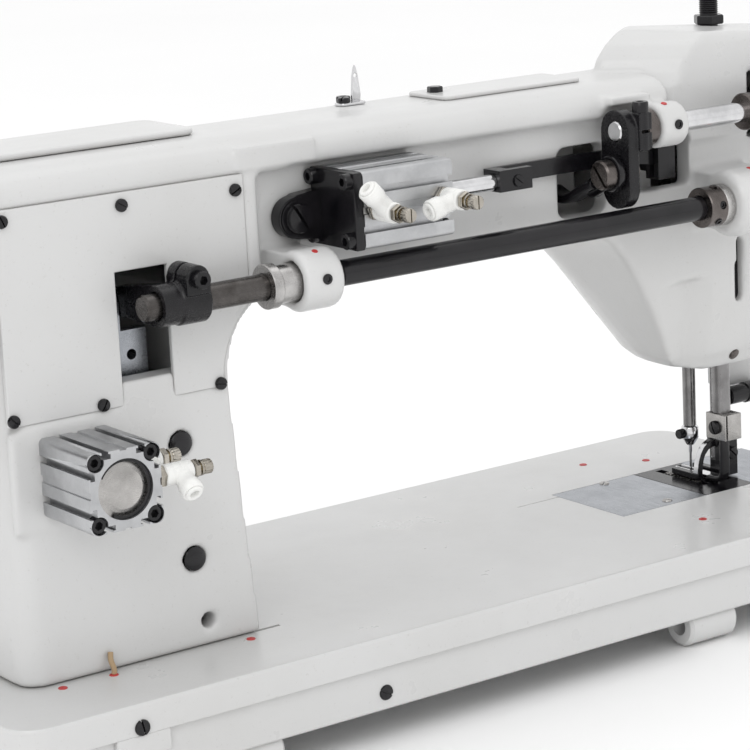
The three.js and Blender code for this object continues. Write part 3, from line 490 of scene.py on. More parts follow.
WHITE_PLASTIC = plastic_material("white_fitting_plastic", "white_plastic", (0.84, 0.84, 0.82), 0.30)
BLACK_PLASTIC = plastic_material("black_moulded_plastic", "black_plastic", (0.028, 0.028, 0.03), 0.42)
RED_PAINT = plastic_material("red_oil_point", "white_paint", (0.50, 0.03, 0.03), 0.4)
FITTING_BORE = plastic_material("fitting_inside", "white_plastic", (0.30, 0.30, 0.29), 0.5)
BELT = plastic_material("belt_rubber_look", "belt_rubber", (0.02, 0.02, 0.02), 0.75)
WICK = plastic_material("felt_wick", "white_paint", (0.42, 0.30, 0.18), 0.9)
WHEEL_PAINT = plastic_material("black_enamel", "black_iron", (0.018, 0.018, 0.02), 0.24)


# ---------------------------------------------------------------- bed
def plan_ring(inset, z):
    outline = rect(inset, LENGTH - inset, inset, WIDTH - inset, CORNER - inset * 0.6, 10)
    return [(a, b, z) for a, b in outline]


def bed():
    levels = [(INSET + 1.0, BOTTOM), (INSET, BOTTOM + 1.2), (INSET, -LIP - 1), (INSET - 0.6, -LIP),
              (0.9, -LIP), (0.25, -LIP + 0.35), (0, -LIP + 1.1), (0, -3.0), (0.25, -1.5),
              (0.9, -0.5), (2.2, 0)]
    body = skin([plan_ring(inset, z) for inset, z in levels])
    wall = INSET + WALL
    body = cut(body, block(wall, LENGTH - wall, wall, WIDTH - wall, BOTTOM - 1, -DECK))
    for x in (96, 300, 560):
        rib = block(x, x + 12, LOWER_Y - 20, LOWER_Y + 20, BOTTOM + 1, -DECK + 1)
        body = union(body, rib)
    body = union(body, soften(block(58, 92, 0, 8, -31, -LIP + 1), 2, 3))
    for x in (148, 487):
        for y in (18, WIDTH - 18):
            lug = rod("x", y, -52, 13, x - 19, x + 19, 2)
            body = union(body, lug, block(x - 17, x + 17, y - 9, y + 9, -52, BOTTOM + 12))
            body = cut(body, rod("x", y, -52, 6, x - 20, x + 20))
    openings = [
        rod(*LOWER, 7.3, 90, 580),
        block(486.7, LENGTH + 1, PLATE_Y[0] - GAP, PLATE_Y[1] + GAP, -3, 1),
        block(572, 638, 97, 160, -DECK - 1, 0),
        block(50, 92, 70, 158, -DECK - 1, 1),
        block(185, 202, 58.6, 61.4, -DECK - 1, 1),
        block(452, 487, 156.2, 157.0, -0.8, 1),
        rod("y", 235.2, -34.5, 4.4, -1, wall + 1),
        rod("y", 73.8, -13.8, 3.2, -1, 6),
    ]
    body = cut(body, *openings)
    publish(body, "bed_body", PAINT, "machine", ["bed_casting"], angle=28, weighted=True)


# ---------------------------------------------------------------- arm, pillar and head
def arm_section(rear, bottom, low=6):
    points = [(rear, bottom + low)] if low else [(rear, bottom)]
    points += [(rear, 262.5), (REAR + 2, 264), (REAR, 266), (REAR, 270)]
    points += bezier((REAR, 270), (REAR, 279), (66, ARM_TOP), (77, ARM_TOP))
    points += [(122, ARM_TOP)]
    points += bezier((122, ARM_TOP), (165, 281), (FRONT, 250), (FRONT, 218))
    if low:
        points += arc(FRONT - 10, bottom + 10, 10, 0, -90, 6)
        points += arc(rear + low, bottom + low, low, -90, -180, 5)[:-1]
    else:
        points += [(FRONT, bottom)]
    return points


def pillar_outline():
    points = [(PILLAR_LEFT, GAP), (188, GAP), (182, 68), (176.7, 144)]
    points += bezier((176.7, 144), (176, 165), (182, ARM_BOTTOM), (224, ARM_BOTTOM), 20)
    points += [(224, ARM_TOP), (PILLAR_LEFT + 12, ARM_TOP)]
    points += bezier((PILLAR_LEFT + 12, ARM_TOP), (PILLAR_LEFT + 4, ARM_TOP), (PILLAR_LEFT, 280),
                     (PILLAR_LEFT, 270), 8)
    return points


def corner_ring(level, rear_steps=10, steps=10):
    """One level of the head, falling by its tilt towards +X; one step makes a corner a chamfer."""
    z, x0, x1, y0, y1, rear, front, end, tilt = level
    outline = (arc(x1 - end, y0 + end, end, -90, 0, steps)
               + arc(x1 - end, y1 - end, end, 0, 90, steps)
               + arc(x0 + front, y1 - front, front, 90, 180, steps)
               + arc(x0 + rear, y0 + rear, rear, 180, 270, rear_steps))
    return [(a, b, z - tilt * (a - x0)) for a, b in outline]


def head_lower():
    """The head below the arm's top, as (z, x0, y0, front corner's radius) from the bottom up."""
    levels = [
        (HEAD_BOTTOM, 551, 84, 70), (88, 547, 81, 74), (93, 525, 79, 82), (99, 518, 75.5, 82),
        (106, 513.5, 73.5, 82), (120, 506, 71, 77), (140, 495, 68.4, 66), (157, 486, RECESS, 54),
        (171, 477, RECESS, 44), (182, 468, RECESS, 42), (190, 455, RECESS, 42),
        (ARM_BOTTOM, 436, RECESS, 42), (215, 430, RECESS, 42), (262, 430, RECESS, 42),
    ]
    rings = []
    for z, x0, y0, corner in levels:
        front = FRONT - 0.27 * max(0, 125 - z)
        end = HEAD_END - 0.15 * max(0, 99 - z)
        rings.append(corner_ring((z, x0, end, y0, front, 5, corner, 5, 0)))
    return skin(rings)


def head_hump():
    """The raised top of the head, as (z, x0, y0, y1, tilt) from the bottom up."""
    levels = [
        (240, 470, 66, 188, 0), (276, 480, 66, 185, 0), (283, 486.5, 66.3, 180, 0),
        (292, 490.3, 67, 169, 0), (300.5, 498, 68, 158, 0.03), (306, 505.5, 69, 147, 0.07),
        (308.2, 509.5, 70.5, 140, 0.08), (HEAD_TOP, 512, 72, 136, 0.08),
    ]
    rings = []
    for z, x0, y0, y1, tilt in levels:
        end = HEAD_END - max(0, z - 305)
        rear = min(38, HUMP_CORNER - 1 - y0)
        rings.append(corner_ring((z, x0, end, y0, y1, rear, y1 - HUMP_CORNER, 6, tilt), 1, 1))
    return skin(rings)


def head():
    """Both parts of the head, with a shallow facet low on its rear side."""
    depths = [(78, 12), (93, 10.4), (99, 7.4), (106, 5.5), (120, 3), (140, 0.5), (151, 0.2)]
    facet = skin([[(494, 50, z), (502, RECESS + y, z), (531, RECESS + 6.2 + y, z), (547, RECESS + y, z),
                   (555, 50, z)] for z, y in depths])
    return union(cut(head_lower(), facet), head_hump())


def cover_outline(grow):
    x0, x1, z0, z1 = COVER[:4]
    wx0, wx1, wz1 = WINDOW[0], WINDOW[1], WINDOW[3]
    edge = 173.5
    points = [(x0 - grow, z0 - grow), (wx0 + grow, z0 - grow), (wx0 + grow, wz1 - grow),
              (wx1 - grow, wz1 - grow), (wx1 - grow, z0 - grow), (edge + grow, z0 - grow)]
    points += bezier((edge + grow, z0 - grow), (edge + grow, 166), (180 + grow, 180),
                     (x1 + grow, 192), 10)
    return points + [(x1 + grow, z1 + grow), (x0 - grow, z1 + grow)]


def arm_bosses():
    """Shoulder, pads, shaft bosses, the lug under the head and the raised seat for the tack cylinder."""
    return [
        block(190, 242, 56, 80, 265.5, 279),
        rod("z", 302, 108, 11, 270, ARM_TOP + 1.6),
        prism("z", rect(346, 462, 76, 124, 8), ARM_TOP - 4, ARM_TOP + 0.2),
        rod(*ROCK, 17.5, 209, 235, 2),
        block(210, 234, ROCK_Y, RECESS + 4, ROCK_Z - 15, ROCK_Z + 15),
        rod(*ROCK, 21, 530, 576, 3),
        block(532, 574, ROCK_Y, RECESS + 4, ROCK_Z - 18, ROCK_Z + 18),
        rod(*WALK, 13.8, 478.5, 500, 1.5),
        block(480, 498.5, WALK_Y, RECESS + 4, WALK_Z - 9, WALK_Z + 13),
        block(453, 484, 50, 80, 271, 277),
        rod(*WALK, 14, 602, 628, 1.5),
        block(604, 626, WALK_Y, RECESS + 4, WALK_Z - 9, WALK_Z + 13),
        block(614, 640, 134, 150, 55, HEAD_BOTTOM + 3),
        block(37, 89, REAR - 0.9, REAR + 2, 87, 144),
    ]


def arm_hollows():
    """Room inside the casting and the openings in its walls."""
    return [
        block(50, 160, 72, 156, -3, 268),
        block(150, 500, 80, 150, 203, 262),
        block(524, 562, 84, 136, 112, 142),
        block(524, HEAD_END + 1, 84, 164, 140, 262),
        block(560, HEAD_END + 1, 84, 164, 112, 142),
        block(560, HEAD_END + 1, 84, 152, 260, 292),
        block(486, 556, 80, 98, 205, 277),
        block(514, 562, 85, 97, 270, 283),
        block(530, 562, 85, 97, 270, 289),
        block(52, 165, REAR - 1, 73, 160, 252),
        prism("y", rect(424, 462, 204, 248, 8), 60, 82),
        prism("y", rect(486, 530, 213, 246, 4), 60, 86),
        block(568, 574.6, 60, 86, 131, 173),
        block(575, 607, 86, 150, 80, 114),
        block(578, 600, 60, 86, 236, 278),
        block(614, 634, 150, 192, 254, 292),
        prism("y", cover_outline(0.1), REAR - 1, REAR + 4.1),
    ]


def arm_bores():
    """Round holes as rod() takes them."""
    return [
        (*ROCK, 11.4, 200, 240), (*ROCK, 8.2, 500, 600),
        (*WALK, 7.0, 470, 640), (*MAIN, 9.8, 20, 560),
        (*PRESS, 6.9, 290, 320), (*PLUGS["upper"], 7.1, REAR - 1, REAR + 16),
        (*PLUGS["lower"], 7.1, REAR - 1, REAR + 16), ("y", 154, 14.4, 4.8, REAR - 1, REAR + 18),
        (*TACK, 6.4, REAR - 1, REAR + 30), (*BELL_CRANK, 4.6, 76, 100),
        (*DIAL, 6, 165, FRONT + 1), (*REVERSE, 6, 165, FRONT + 1),
        (*TENSION, 4.4, 165, FRONT + 1),
    ]


def arm():
    pillar = common(prism("y", pillar_outline(), REAR, FRONT),
                    prism("x", arm_section(REAR, -1, 0), 0, 300),
                    prism("z", rect(PILLAR_LEFT, 300, REAR, FRONT, 14), -2, 400))
    pillar = cut(pillar, block(203, 240, REAR - 1, RECESS, 150, 262.5))
    long_arm = prism("x", arm_section(RECESS, ARM_BOTTOM), 180, 505)
    body = union(pillar, long_arm, head())
    body = cut(union(body, *arm_bosses()), *arm_hollows())
    web = cut(block(418, 470, 108, 152, 202, 263), rod(*MAIN, 9.8, 410, 480))
    land = block(WINDOW[0] + 0.6, WINDOW[1] - 0.6, REAR, REAR + 6, 146.5, WINDOW[2])
    body = union(body, land, web)
    body = cut(body, *[rod(*bore, sides=32) for bore in arm_bores()])
    publish(cast(body, 2.0), "arm_body", PAINT, "machine", ["arm_casting"], angle=75)
    # Painted shade: a black block fills the head's slit, standing in for the dark inside of the opening.
    slit_shade_block = soften(block(566, 577, 74.5, 82, 129, 176), 0.4, 1)
    publish(slit_shade_block, "head_slit_painted_shade", OXIDE, "machine")


def covers():
    plate = prism("y", cover_outline(0), REAR + 0.1, REAR + COVER[4])
    publish(soften(plate, 0.8, 3), "rear_cover_plate", PAINT, "machine", ["rear_cover"], weighted=True)
    lid = prism("z", rect(52, 186, 88, 146, 9), ARM_TOP + GAP, ARM_TOP + 4)
    publish(soften(lid, 1.5, 3), "pillar_lid", PAINT, "machine", ["pillar_top_lid"], weighted=True)
    top = prism("z", rect(352, 456, 80, 120, 5), ARM_TOP + GAP, ARM_TOP + 2.8)
    publish(soften(top, 0.9, 3), "arm_lid", PAINT, "machine", ["arm_top_cover"], weighted=True)
    outline = [(92, 103), (164, 103)] + bezier((164, 103), (174, 104), (178, 112), (178, 124))
    outline += [(178, 270)] + bezier((178, 270), (178, 284), (168, 293), (150, 295))
    outline += [(96, 295)] + bezier((96, 295), (80, 293), (76, 286), (76, 274))
    outline += [(76, 124)] + bezier((76, 124), (78, 110), (82, 104), (92, 103))[:-1]
    face = cut(prism("x", outline, HEAD_END + GAP, HEAD_END + 5),
               rod("x", 150, 160, 4.4, HEAD_END - 1, HEAD_END + 8))
    publish(soften(face, 1.4, 3), "head_face_plate", PAINT, "machine", ["face_plate"], weighted=True)


# ---------------------------------------------------------------- screws
def slotted_head(radius, height, dome=0.0):
    profile = [(0, 0), (radius, 0), (radius, height * 0.7), (radius * 0.9, height),
               (0, height + dome)]
    head_shape = turned("z", 0, 0, profile, 40)
    slot = block(-radius - 1, radius + 1, -radius * 0.11, radius * 0.11, height * 0.45, height + 3)
    return cut(head_shape, slot)


def socket_head(radius, height, key):
    profile = [(0, 0), (radius, 0), (radius, height * 0.88), (radius * 0.9, height), (0, height)]
    head_shape = turned("z", 0, 0, profile, 48)
    return cut(head_shape, prism("z", circle(0, 0, key, 6), height * 0.35, height + 1))


def flanged_head(radius, height):
    washer = turned("z", 0, 0, [(0, 0), (radius, 0), (radius, height * 0.25), (0, height * 0.25)], 40)
    nut = hexagon(radius * 0.68, ((height * 0.2, 1), (height * 0.88, 1), (height, 0.88)))
    return group(washer, nut)


def scatter(maker, places, name, material, body, **kwargs):
    """One piece holding the same fastener at many (position, axis, roll) places."""
    copies = []
    for position, axis, roll in places:
        copies.append(aim(maker(), position, axis, roll))
    return publish(group(*copies), name, material, body, **kwargs)


def fasteners():
    cover_points = [(43.2, 258, 0.4), (115.6, 257, 1.0), (188, 255.6, 2.1), (41.2, 150.6, 0.8),
                    (96, 150, 2.6), (171, 149, 1.4)]
    scatter(lambda: slotted_head(3.6, 2.2, 0.5),
            [((x, REAR + 0.2, z), BACK, r) for x, z, r in cover_points],
            "rear_cover_screws", OXIDE, "machine")
    for name, place in PLUGS.items():
        plug = turned(*place, [(0, REAR - 2.2), (3.5, REAR - 1.9), (6.0, REAR - 1.1), (6.9, REAR - 0.3),
                               (6.9, REAR + 0.6), (0, REAR + 0.6)])
        publish(plug, f"plug_{name}", OXIDE, "machine", [f"hole_plug_{name}"])
    scatter(lambda: slotted_head(3.4, 1.6, 0.2),
            [((529.5, 161, -0.9), UP, 0.7), ((531.4, 99.5, -0.9), UP, 2.0)],
            "bed_cover_screws", GROUND, "machine")
    scatter(lambda: flanged_head(7.0, 4.6),
            [((362, 104, ARM_TOP + 1.6), UP, 0.3)], "arm_lid_screw", OXIDE, "machine")
    scatter(lambda: socket_head(4.3, 4.6, 2.15),
            [((302, 113.5, ARM_TOP + 1.8), UP, 0.3)], "thread_guide_screw", OXIDE, "machine")
    scatter(lambda: slotted_head(4.6, 2.6, 0.6),
            [((235.2, 5.1, -34.5), BACK, 1.1), ((73.8, 1.2, -13.8), BACK, 0.2)],
            "bed_edge_screws", OXIDE, "machine")
    setters = [((222, ROCK_Y - 17.2, ROCK_Z + 2), BACK, 0), ((490, WALK_Y - 13.5, WALK_Z + 1), BACK, 0)]
    scatter(lambda: socket_head(3.0, 0.9, 1.7), setters, "boss_set_screws", OXIDE, "machine")
    rim = [(3.1, 0), (3.8, 0), (3.8, 0.7), (3.1, 0.7)]
    scatter(lambda: group(slotted_head(3.1, 1.3, 0.2), turned("z", 0, 0, rim)),
            [((573, 78.3, 94.5), (0, -1, -0.5), 0.9)], "head_corner_screw", BRONZED, "machine")
    marks = [(54.6, 50.5), (86.4, 50.1), (175.9, 49.8), (550.3, 208.5), (588, 186.4), (518.7, 50.6)]
    scatter(lambda: turned("z", 0, 0, [(0, 0), (2.7, 0), (2.5, 0.5), (0.9, 0.7), (0, 0.2)], 32),
            [((x, y, -0.1), UP, 0) for x, y in marks], "red_oil_points", RED_PAINT, "machine")
    top_marks = [((487, WALK_Y - 4, WALK_Z + 13.1), (0, -0.3, 1), 0),
                 ((549, ROCK_Y - 4, ROCK_Z + 20.2), (0, -0.2, 1), 0),
                 ((222, ROCK_Y - 6, ROCK_Z + 16.1), (0, -0.4, 0.9), 0)]
    scatter(lambda: turned("z", 0, 0, [(0, 0), (1.9, 0), (1.7, 0.5), (0, 0.6)], 24),
            top_marks, "red_boss_points", RED_PAINT, "machine")
    wick = sweep([(87, 51, -0.2), (87.5, 51.5, 3), (87, 53.5, 7.5), (88, 55.3, 11.5)], 1.5, 1.5, RIGHT,
                 2.2, 12, 18)
    publish(wick, "oil_wick", WICK, "machine")


# ---------------------------------------------------------------- air cylinders
def extrusion_section(a, b, slots):
    """Square profile with small radii and undercut sensor grooves on the named sides."""
    half, radius = 22, 3.2
    outline = []
    for side in range(4):
        turn = math.radians(90 * side)
        local = []
        if side in slots:
            for at in (-11, 11):
                local += [(at - 2.0, -half), (at - 2.0, -half + 1.3), (at - 3.3, -half + 1.3),
                          (at - 3.3, -half + 4.0), (at + 3.3, -half + 4.0),
                          (at + 3.3, -half + 1.3), (at + 2.0, -half + 1.3), (at + 2.0, -half)]
            local[8:8] = [(-2.2, -half), (-1.8, -half + 0.9), (1.8, -half + 0.9), (2.2, -half)]
        corner = arc(half - radius, -half + radius, radius, -90, 0, 5)
        for u, v in local + corner:
            outline.append((a + u * math.cos(turn) - v * math.sin(turn),
                            b + u * math.sin(turn) + v * math.cos(turn)))
    return outline


def tack_cylinder():
    face = 3.9
    body = prism("y", extrusion_section(TACK_X, TACK_Z, (0, 1, 2, 3)), face, REAR - GAP)
    holes = [rod("y", TACK_X + sx * BOLTS, TACK_Z + sz * BOLTS, 5.0, 2, 11) for sx, sz in FOUR]
    bore = [rod(*TACK, 5.6, 30, REAR + 1), rod(*TACK, 16, 13.5, 46), rod(*TACK, 16.6, face - 1, 8.5)]
    body = cut(body, *holes, *bore)
    publish(soften(body, 0.35, 2), "tack_cylinder_extrusion", ALUMINIUM, "machine",
            ["tack_cylinder_body"], weighted=True)
    snap = (arc(TACK_X, TACK_Z, 16.5, -118, 150, 40)
            + arc(TACK_X, TACK_Z, 14.6, 150, -118, 40))
    publish(prism("y", snap, 5.6, 7.0), "tack_snap_ring", OXIDE, "machine")
    cap = turned(*TACK, [(0, 5.0), (10.6, 5.0), (11.2, 5.3), (13.4, 7.0), (16.4, 7.2),
                         (16.4, 8.4), (0, 8.4)])
    publish(cap, "tack_cap_disc", GROUND, "machine")
    scatter(lambda: socket_head(4.5, 5.0, 2.5),
            [((TACK_X + sx * BOLTS, 10.2, TACK_Z + sz * BOLTS), BACK, 0.3 * sx + sz) for sx, sz in FOUR],
            "tack_cylinder_bolts", OXIDE, "machine")
    bar = group(rod(*TACK, 5, 34.5, 78, 0.8), rod(*TACK, 15.2, 26, 35, 0.6))
    publish(bar, "tack_rod_bar", BRIGHT, "tack_rod", ["tack_piston_rod"])


def lift_cylinder():
    body = prism("x", extrusion_section(LIFT_Y, LIFT_Z, (0, 2, 3)), 251.3, 313)
    body = cut(body, rod(*LIFT, 5.6, 280, 320), rod(*LIFT, 16, 256, 308), rod(*LIFT, 12.2, 311, 320),
               *[rod("x", LIFT_Y + sy * BOLTS, LIFT_Z + sz * BOLTS, 4.8, 308, 320) for sy, sz in FOUR])
    publish(soften(body, 0.35, 2), "lift_cylinder_extrusion", ALUMINIUM, "machine",
            ["lift_cylinder_body"], weighted=True)
    gland = turned(*LIFT, [(5.5, 310.5), (11.9, 310.5), (11.9, 313.4), (9.4, 314.2),
                           (9.2, 318.4), (8.2, 319.2), (5.5, 319.2)])
    publish(gland, "lift_rod_gland", WHITE_PLASTIC, "machine")
    plate = soften(block(245, 251, 24, RECESS - GAP, LIFT_Z - 22, LIFT_Z + 22), 0.8, 2)
    tongue = [(246, 220), (246, 248.5), (230, 247)] + arc(229, 234, 12, 95, 265, 14) + [(230, 221.5)]
    bracket = group(plate, soften(prism("y", tongue, 58.5, RECESS - GAP), 0.8, 2))
    publish(bracket, "lift_end_bracket", OXIDE, "machine", ["lift_bracket"], weighted=True)
    pivot = aim(slotted_head(8.6, 5.2, 0.5), (229, 58.8, 234), BACK, 0.55)
    collar = turned("y", 229, 234, [(0, 57.6), (10.6, 57.6), (10.6, 58.7), (0, 58.7)])
    publish(group(pivot, collar), "lift_pivot_screw", OXIDE, "machine")
    scatter(lambda: socket_head(4.6, 4.8, 2.5),
            [((245.2, y, z), LEFT, 0.4) for y in (29, 63) for z in (255.6, 222.1)],
            "lift_cylinder_bolts", OXIDE, "machine")
    scatter(lambda: socket_head(4.4, 3.2, 2.4),
            [((308.6, LIFT_Y + sy * BOLTS, LIFT_Z + sz * BOLTS), RIGHT, 0.4) for sy, sz in FOUR],
            "lift_front_bolts", OXIDE, "machine")
    bar = group(rod(*LIFT, 5, 269.5, 362, 0.8), rod(*LIFT, 14.8, 262, 270, 0.5))
    publish(bar, "lift_rod_bar", BRIGHT, "lift_rod", ["lift_piston_rod"])
    clevis = cut(block(358, 382, 38.5, 54, LIFT_Z - 5.5, LIFT_Z + 7.2),
                 block(366, 383, 43.5, 58, LIFT_Z - 9, LIFT_Z + 9),
                 rod(*LIFT, 5.3, 350, 367))
    publish(soften(clevis, 0.8, 2), "rod_end_block", OXIDE, "lift_rod", ["rod_clevis"], weighted=True)
    pin = aim(slotted_head(3.6, 1.6, 0.2), (371.5, 38.8, LIFT_Z), BACK, 0.9)
    publish(pin, "rod_end_pin", OXIDE, "lift_rod")


FITTINGS = {
    "lift_left": ((259, 24, LIFT_Z), BACK, (-14, 0, 14.5)),
    "lift_right": ((305.5, 24, LIFT_Z + 1), BACK, (-19, 0, -4.5)),
    "tack_front": ((98.5, 10, TACK_Z + 1), RIGHT, (0, -13, -9)),
    "tack_rear": ((98.5, 43, TACK_Z + 1), RIGHT, (0, -13, -9)),
}
REACH = {"lift": (13, 20, 34), "tack": (15, 22, 34)}


def knurled(radius, start, stop, teeth):
    """A knurled rim made along +Z."""
    rim = []
    for i in range(teeth * 2):
        angle = math.pi * i / teeth
        r = radius if i % 2 else radius - 0.35
        rim.append((r * math.cos(angle), r * math.sin(angle)))
    shrunk = [(x * 0.9, y * 0.9) for x, y in rim]
    rings = [(shrunk, start), (rim, start + 0.5), (rim, stop - 0.5), (shrunk, stop)]
    return skin([[(x, y, z) for x, y in ring] for ring, z in rings])


def fitting(name, port, out, branch):
    cylinder, side = name.split("_")
    knee, end, tip = REACH[cylinder]
    body = turned("z", 0, 0, [(0, 3.9), (4.9, 3.9), (5.9, 4.9), (5.9, end - 1.6), (5.2, end - 0.6),
                              (0, end - 0.6)], 40)
    aim(body, port, out)
    start = Vector(port) + Vector(out) * knee
    direction = Vector(branch)
    reach = direction.length
    pipe = turned("z", 0, 0, [(0, 0), (5.5, 0), (5.5, reach * 0.55), (6.3, reach * 0.62),
                              (6.3, reach - 0.8), (5.8, reach - 0.1), (4.6, reach - 0.1),
                              (4.6, reach - 1.4), (0, reach - 1.4)], 40)
    aim(pipe, start, direction)
    body = union(body, pipe)
    publish(soften(body, 0.3, 2, 50), f"{cylinder}_elbow_body_{side}", WHITE_PLASTIC, "machine",
            [f"{cylinder}_elbow_{side}"])
    button = turned("z", 0, 0, [(2.4, reach - 2.6), (4.3, reach - 2.6), (4.3, reach - 0.4),
                                (4.9, reach), (4.9, reach + 0.9), (4.4, reach + 1.3),
                                (2.9, reach + 1.3), (2.4, reach + 0.6)], 40)
    publish(aim(button, start, direction), f"{cylinder}_release_ring_{side}", WHITE_PLASTIC, "machine")
    bore = turned("z", 0, 0, [(0, reach - 2.4), (2.5, reach - 2.4), (2.5, reach - 1.9), (0, reach - 1.9)], 32)
    publish(aim(bore, start, direction), f"{cylinder}_pipe_bore_{side}", FITTING_BORE, "machine")
    nut = hexagon(6.5, ((0.3, 0.92), (0.9, 1), (3.4, 1), (4.0, 0.92)))
    publish(aim(nut, port, out, 0.3), f"{cylinder}_port_nut_{side}", NICKEL, "machine")
    middle = (end + tip) / 2
    lock = hexagon(5.4, ((end + 0.3, 0.9), (end + 0.8, 1), (end + 3.2, 1), (end + 3.8, 0.9)))
    stem = turned("z", 0, 0, [(0, end + 0.3), (3.2, end + 0.3), (3.2, tip - 3), (0, tip - 3)], 32)
    collar = turned("z", 0, 0, [(0, middle - 1.2), (4.4, middle - 1.2), (4.4, middle), (0, middle)], 32)
    knob = knurled(4.1, middle + 0.8, tip, 18)
    knob = cut(knob, block(-5, 5, -0.4, 0.4, tip - 1.2, tip + 1))
    body_name = f"knob_{cylinder}_{side}"
    publish(aim(stem, port, out), f"{cylinder}_metering_stem_{side}", BRASS, body_name)
    publish(aim(group(lock, collar), port, out), f"{cylinder}_lock_nut_{side}", NICKEL, body_name)
    publish(aim(knob, port, out), f"{cylinder}_metering_knob_{side}", NICKEL, body_name,
            [f"{cylinder}_flow_knob_{side}"])


# ---------------------------------------------------------------- rear shafts and levers
def rock_parts():
    bar = rod(*ROCK, ROCK_R, 240.5, 590, 0.6, 64)
    publish(bar, "rock_shaft_bar", OXIDE, "feed_rock", ["rock_shaft"])
    stub = rod(*ROCK, ROCK_R, 113, 240.5, 1.2, 64)
    publish(stub, "rock_shaft_stub", DARK_SHAFT, "feed_rock")
    bush = turned(*ROCK, [(7.8, 191), (12.2, 191), (12.8, 191.6), (12.8, 196.6), (12.3, 197.2),
                          (10.8, 197.4), (10.8, 237), (7.8, 237)], 80)
    publish(bush, "rock_bushing_ring", TURNED, "machine", ["rock_shaft_bushing"])
    collar = turned(*ROCK, [(7.8, 511), (11.9, 511), (12.5, 511.6), (12.5, 528.9),
                            (11.9, 529.5), (7.8, 529.5)], 80)
    collar = cut(collar, rod("y", 519.7, ROCK_Z + 2, 2.6, ROCK_Y - 14, ROCK_Y - 9),
                 rod("z", 519.7, ROCK_Y - 3, 2.6, ROCK_Z + 9, ROCK_Z + 14))
    publish(collar, "rock_collar_ring", BRONZED, "feed_rock", ["rock_shaft_collar"])
    edge = turned(*ROCK, [(12.3, 523.5), (12.9, 524), (12.9, 529.2), (12.3, 529.4)], 80)
    publish(edge, "rock_collar_edge", TURNED, "feed_rock")
    scatter(lambda: socket_head(2.4, 1.2, 1.4),
            [((519.7, ROCK_Y - 10.6, ROCK_Z + 2), BACK, 0),
             ((518, ROCK_Y - 9, ROCK_Z - 8), (0, -1, -0.8), 0)],
            "rock_collar_screw", OXIDE, "feed_rock")
    hub = rod(*ROCK, 12.5, 133, 151, 1)
    arm_part = link_shape("x", (ROCK_Y, ROCK_Z), (86, 200), 11.5, 7.5, 121.5, 133.5)
    ears = union(block(134.5, 149.5, ROCK_Y - 13, ROCK_Y + 9, ROCK_Z + 5, ROCK_Z + 14),
                 rod("y", 142, ROCK_Z + 14, 7.2, ROCK_Y - 13, ROCK_Y + 9, 0.6))
    lever = union(hub, arm_part, ears)
    lever = cut(lever, rod(*ROCK, ROCK_R + GAP, 100, 160),
                block(133.6, 152, ROCK_Y - 1, ROCK_Y + 1, ROCK_Z, ROCK_Z + 24))
    lever = cast(lever, 0.55, 2)
    publish(lever, "rock_clamp_body", FORGED, "feed_rock", ["rock_clamp_lever"], angle=60)
    screw = aim(socket_head(5.0, 5.2, 2.7), (142, ROCK_Y - 12.8, ROCK_Z + 13.5), BACK, 0.3)
    publish(screw, "rock_clamp_screw", OXIDE, "feed_rock")
    pin = rod("x", 86, 200, 4.2, 111, 124, 0.6)
    publish(pin, "rock_lever_pin", DARK_SHAFT, "feed_rock")
    link = cut(union(block(113, 137, 77, 86, 22, 184), block(113, 121, 77, 93, 170, 200),
                     rod("x", 86, 200, 8, 113, 121)),
               rod("x", 86, 200, 4.5, 105, 125), rod("y", 127, 170, 3, 70, 90))
    publish(soften(link, 0.6, 2), "feed_link_plate", SATIN, "feed_rod", ["feed_link"], weighted=True)


